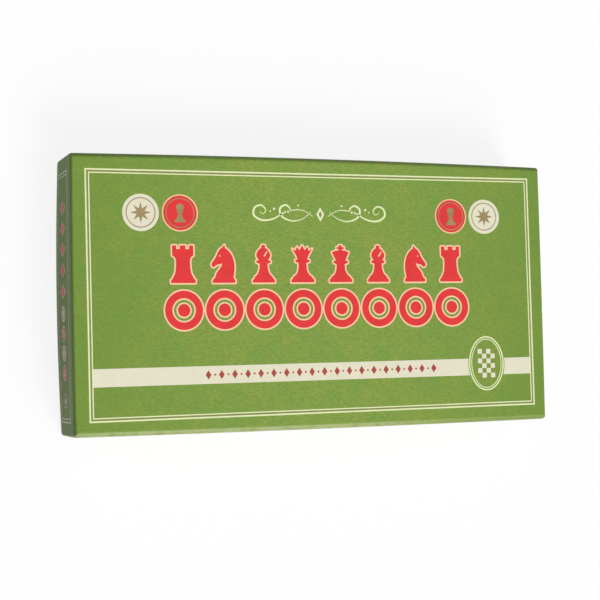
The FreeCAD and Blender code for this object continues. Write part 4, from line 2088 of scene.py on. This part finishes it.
@dataclass
class DiscSet:
    """Turned discs in two colours, each with a chess sign on its face."""

    radius: float = 17.0
    height: float = 9.5
    edge: float = 1.3
    floor: float = 27.5
    face_ring: float = 14.28
    groove: float = 1.1
    groove_depth: float = 0.5
    back_rings: tuple[float, ...] = (7.65, 12.24)
    arc_steps: int = 6
    sign_height: float = 17.0
    sign_ring: Span = (0.7, 1.3)
    column_pitch: float = 45.725
    row_pitch: float = 47.45

    def section(self) -> list[Point]:
        """Return the turned section, from the axis underneath round to the axis on top.

        Returns:
            Pairs of radius and level.
        """
        way: list[Point] = [(0.0, 0.0)]
        for start in self.back_rings:
            way += self.ring_groove(start, 0.0, 1.0)
        centre = self.radius - self.edge
        quarter = math.pi / 2
        for level, first in ((self.edge, -quarter), (self.height - self.edge, 0.0)):
            for angle in evenly(first, first + quarter, self.arc_steps):
                out, up = self.edge * math.cos(angle), self.edge * math.sin(angle)
                way.append((centre + out, level + up))
        way += self.ring_groove(self.face_ring, self.height, -1.0)[::-1]
        way.append((0.0, self.height))
        return way

    def ring_groove(self, start: float, level: float, inward: float) -> list[Point]:
        """Return a round-bottomed ring groove.

        Args:
            start: Inner radius.
            level: Level of the face.
            inward: 1 where the disc lies above the face and -1 where it lies below.

        Returns:
            Pairs of radius and level, from the axis outwards.
        """
        return [
            (
                start + self.groove * share,
                level + inward * self.groove_depth * math.sin(math.pi * share),
            )
            for share in evenly(0.0, 1.0, self.arc_steps)
        ]

    def pattern(self) -> bpy.types.Object:
        """Draw the turned section as a curve.

        Returns:
            The curve, which is only there while the discs are turned.
        """
        curve = bpy.data.curves.new("disc_section", "CURVE")
        curve.dimensions = "3D"
        spline = curve.splines.new("POLY")
        way = self.section()
        spline.points.add(len(way) - 1)
        for point, (radius, level) in zip(spline.points, way):
            point.co = (radius * MM, -level * MM, 0, 1)
        return new_object("disc_section", curve)

    def build(self) -> None:
        """Turn the 32 discs and lay their signs."""
        pattern = self.pattern()
        pawns = (Sign.PAWN,) * len(BACK_RANK)
        rows = (("cream", CREAM_WOOD, BACK_RANK), ("cream", CREAM_WOOD, pawns),
                ("red", RED_WOOD, pawns), ("red", RED_WOOD, BACK_RANK))
        lathes = {wood.name: turned_form(wood) for _, wood, _ in rows}
        for rank, (colour, wood, signs) in enumerate(rows):
            y = (rank - (len(rows) - 1) / 2) * self.row_pitch
            for column, (sign, letter) in enumerate(zip(signs, "abcdefgh")):
                name = f"{colour}_{sign.value}_{letter}"
                x = (column - (len(signs) - 1) / 2) * self.column_pitch
                mesh = lathes[wood.name].run({
                    "Section": pattern, "Centre": (x * MM, y * MM, self.floor * MM),
                })
                enter(f"{name}_turned", mesh, wood, name, [name])
                self.sign(name, sign, x, y)
        bpy.data.objects.remove(pattern)

    def sign(self, name: str, sign: Sign, x: float, y: float) -> None:
        """Lay a disc's sign and the ink ring inside its groove.

        Args:
            name: Name of the disc and of its body.
            sign: Chess sign.
            x: Middle of the disc.
            y: Middle of the disc.
        """
        top = self.floor + self.height

        def place(along: float, across: float, lift: float) -> Vector:
            """Return a place on the disc's face."""
            return Vector((along, across, top + lift))

        film = Film(f"{name}_sign", BRONZE_FOIL, name, place)
        foot = (x, y - self.sign_height / 2)
        film.add(FIGURES[sign].loops(foot, self.sign_height), Fill.WITH_GAPS)
        film.add(ring((x, y), *(self.face_ring - inset for inset in self.sign_ring)))
        film.build()


# --------------------------------------------------------------------- studio


@dataclass(frozen=True)
class Lamp:
    """A far soft lamp, turned from straight above."""

    name: str
    turn: Triple
    strength: float
    spread: float

    def build(self) -> None:
        """Hang the lamp."""
        light = bpy.data.lights.new(self.name, "SUN")
        light.energy = self.strength
        light.angle = math.radians(self.spread)
        lamp = new_object(self.name, light)
        lamp.rotation_euler = [math.radians(turn) for turn in self.turn]


@dataclass
class Studio:
    """Floor, light and camera."""

    camera_place: Triple = (-384.356, -51.254, 1005.709)
    camera_turn: Triple = (3.09572, -20.83779, -1.42547)
    lens: float = 83.349
    sensor: float = 36.0
    nearest: float = 10.0
    lamps: tuple[Lamp, ...] = (
        Lamp("key", (42.8, 24.1, 0.0), 2.05, 28.0), Lamp("front", (68.4, 24.0, 0.0), 0.8, 30.0),
    )
    bright_way: Triple = (0.35, -0.45, 0.82)
    bright_span: Span = (-0.2, 0.95)
    dim: float = 0.03
    bright: float = 0.62
    floor_half: float = 4000.0
    floor_level: float = -0.4
    floor_paint: Colour = (0.25, 0.25, 0.25, 1.0)
    shadow_share: float = 0.14

    def build(self) -> None:
        """Set up the camera, the light and the floor."""
        bpy.context.scene.view_settings.view_transform = "Standard"
        self.camera()
        for lamp in self.lamps:
            lamp.build()
        self.sky()
        self.floor()
        LOG.info("studio: camera, %d lamps, sky and floor", len(self.lamps))

    def camera(self) -> None:
        """Set up the camera at the photograph's viewing angle."""
        camera = new_object("camera", bpy.data.cameras.new("camera"))
        camera.location = Vector(self.camera_place) * MM
        camera.rotation_euler = [math.radians(turn) for turn in self.camera_turn]
        camera.data.lens = self.lens
        camera.data.sensor_width = self.sensor
        camera.data.clip_start = self.nearest * MM
        bpy.context.scene.camera = camera

    def sky(self) -> None:
        """Set up the soft light from all round, brighter from one way."""
        world = bpy.data.worlds.new("studio")
        graph = fresh_graph(world)
        seen = self.seen(graph)
        way = graph.node("ShaderNodeTexCoord").out("Generated")
        facing = graph.node(
            "ShaderNodeVectorMath", {"operation": "DOT_PRODUCT"}, {0: way, 1: self.bright_way}
        ).out("Value")
        soft = self.dim + (self.bright - self.dim) * facing.fade(*self.bright_span)
        sky = graph.node("ShaderNodeBackground", None, {
            "Color": WHITE, "Strength": soft + (1.0 - soft) * seen,
        })
        graph.node("ShaderNodeOutputWorld", None, {"Surface": sky})
        bpy.context.scene.world = world

    def seen(self, graph: Graph) -> Signal:
        """Return 1 for rays that show the background itself.

        Args:
            graph: Graph of the floor or the world.

        Returns:
            The signal, 0 for rays that only light the object.
        """
        path = graph.node("ShaderNodeLightPath")
        seen = path.out("Is Camera Ray").most(path.out("Is Glossy Ray"))
        return seen.most(path.out("Is Transmission Ray"))

    def floor(self) -> None:
        """Lay the pale floor, which keeps the object's shadow."""
        form = bmesh.new()
        reach, level = self.floor_half * MM, self.floor_level * MM
        spots = box_loop(-reach, -reach, reach, reach)
        form.faces.new([form.verts.new((x, y, level)) for x, y in spots])
        mesh = bpy.data.meshes.new("floor")
        form.to_mesh(mesh)
        form.free()
        floor = new_object("floor", mesh)
        material = bpy.data.materials.new("pale_floor")
        graph = fresh_graph(material)
        seen = self.seen(graph)
        shown = graph.mixed(seen, self.floor_paint, WHITE)
        paint = graph.node("ShaderNodeBsdfDiffuse", None, {"Color": shown})
        white = graph.node("ShaderNodeEmission", None, {"Color": WHITE})
        floor_shader = graph.node(
            "ShaderNodeMixShader", None, {0: seen * (1 - self.shadow_share), 1: paint, 2: white}
        )
        graph.node("ShaderNodeOutputMaterial", None, {"Surface": floor_shader})
        mesh.materials.append(material)


def main() -> None:
    """Build the scene piece by piece."""
    logging.basicConfig(level=logging.INFO, format="%(message)s")
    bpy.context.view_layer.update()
    Studio().build()
    lid = Lid()
    lid.build()
    TopPrint(lid).build()
    for side in Side:
        WallPrint(lid, side).build()
    Tray().dress()
    FoldingBoard().build()
    Leaflet().build()
    DiscSet().build()


if __name__ == "__main__":
    main()
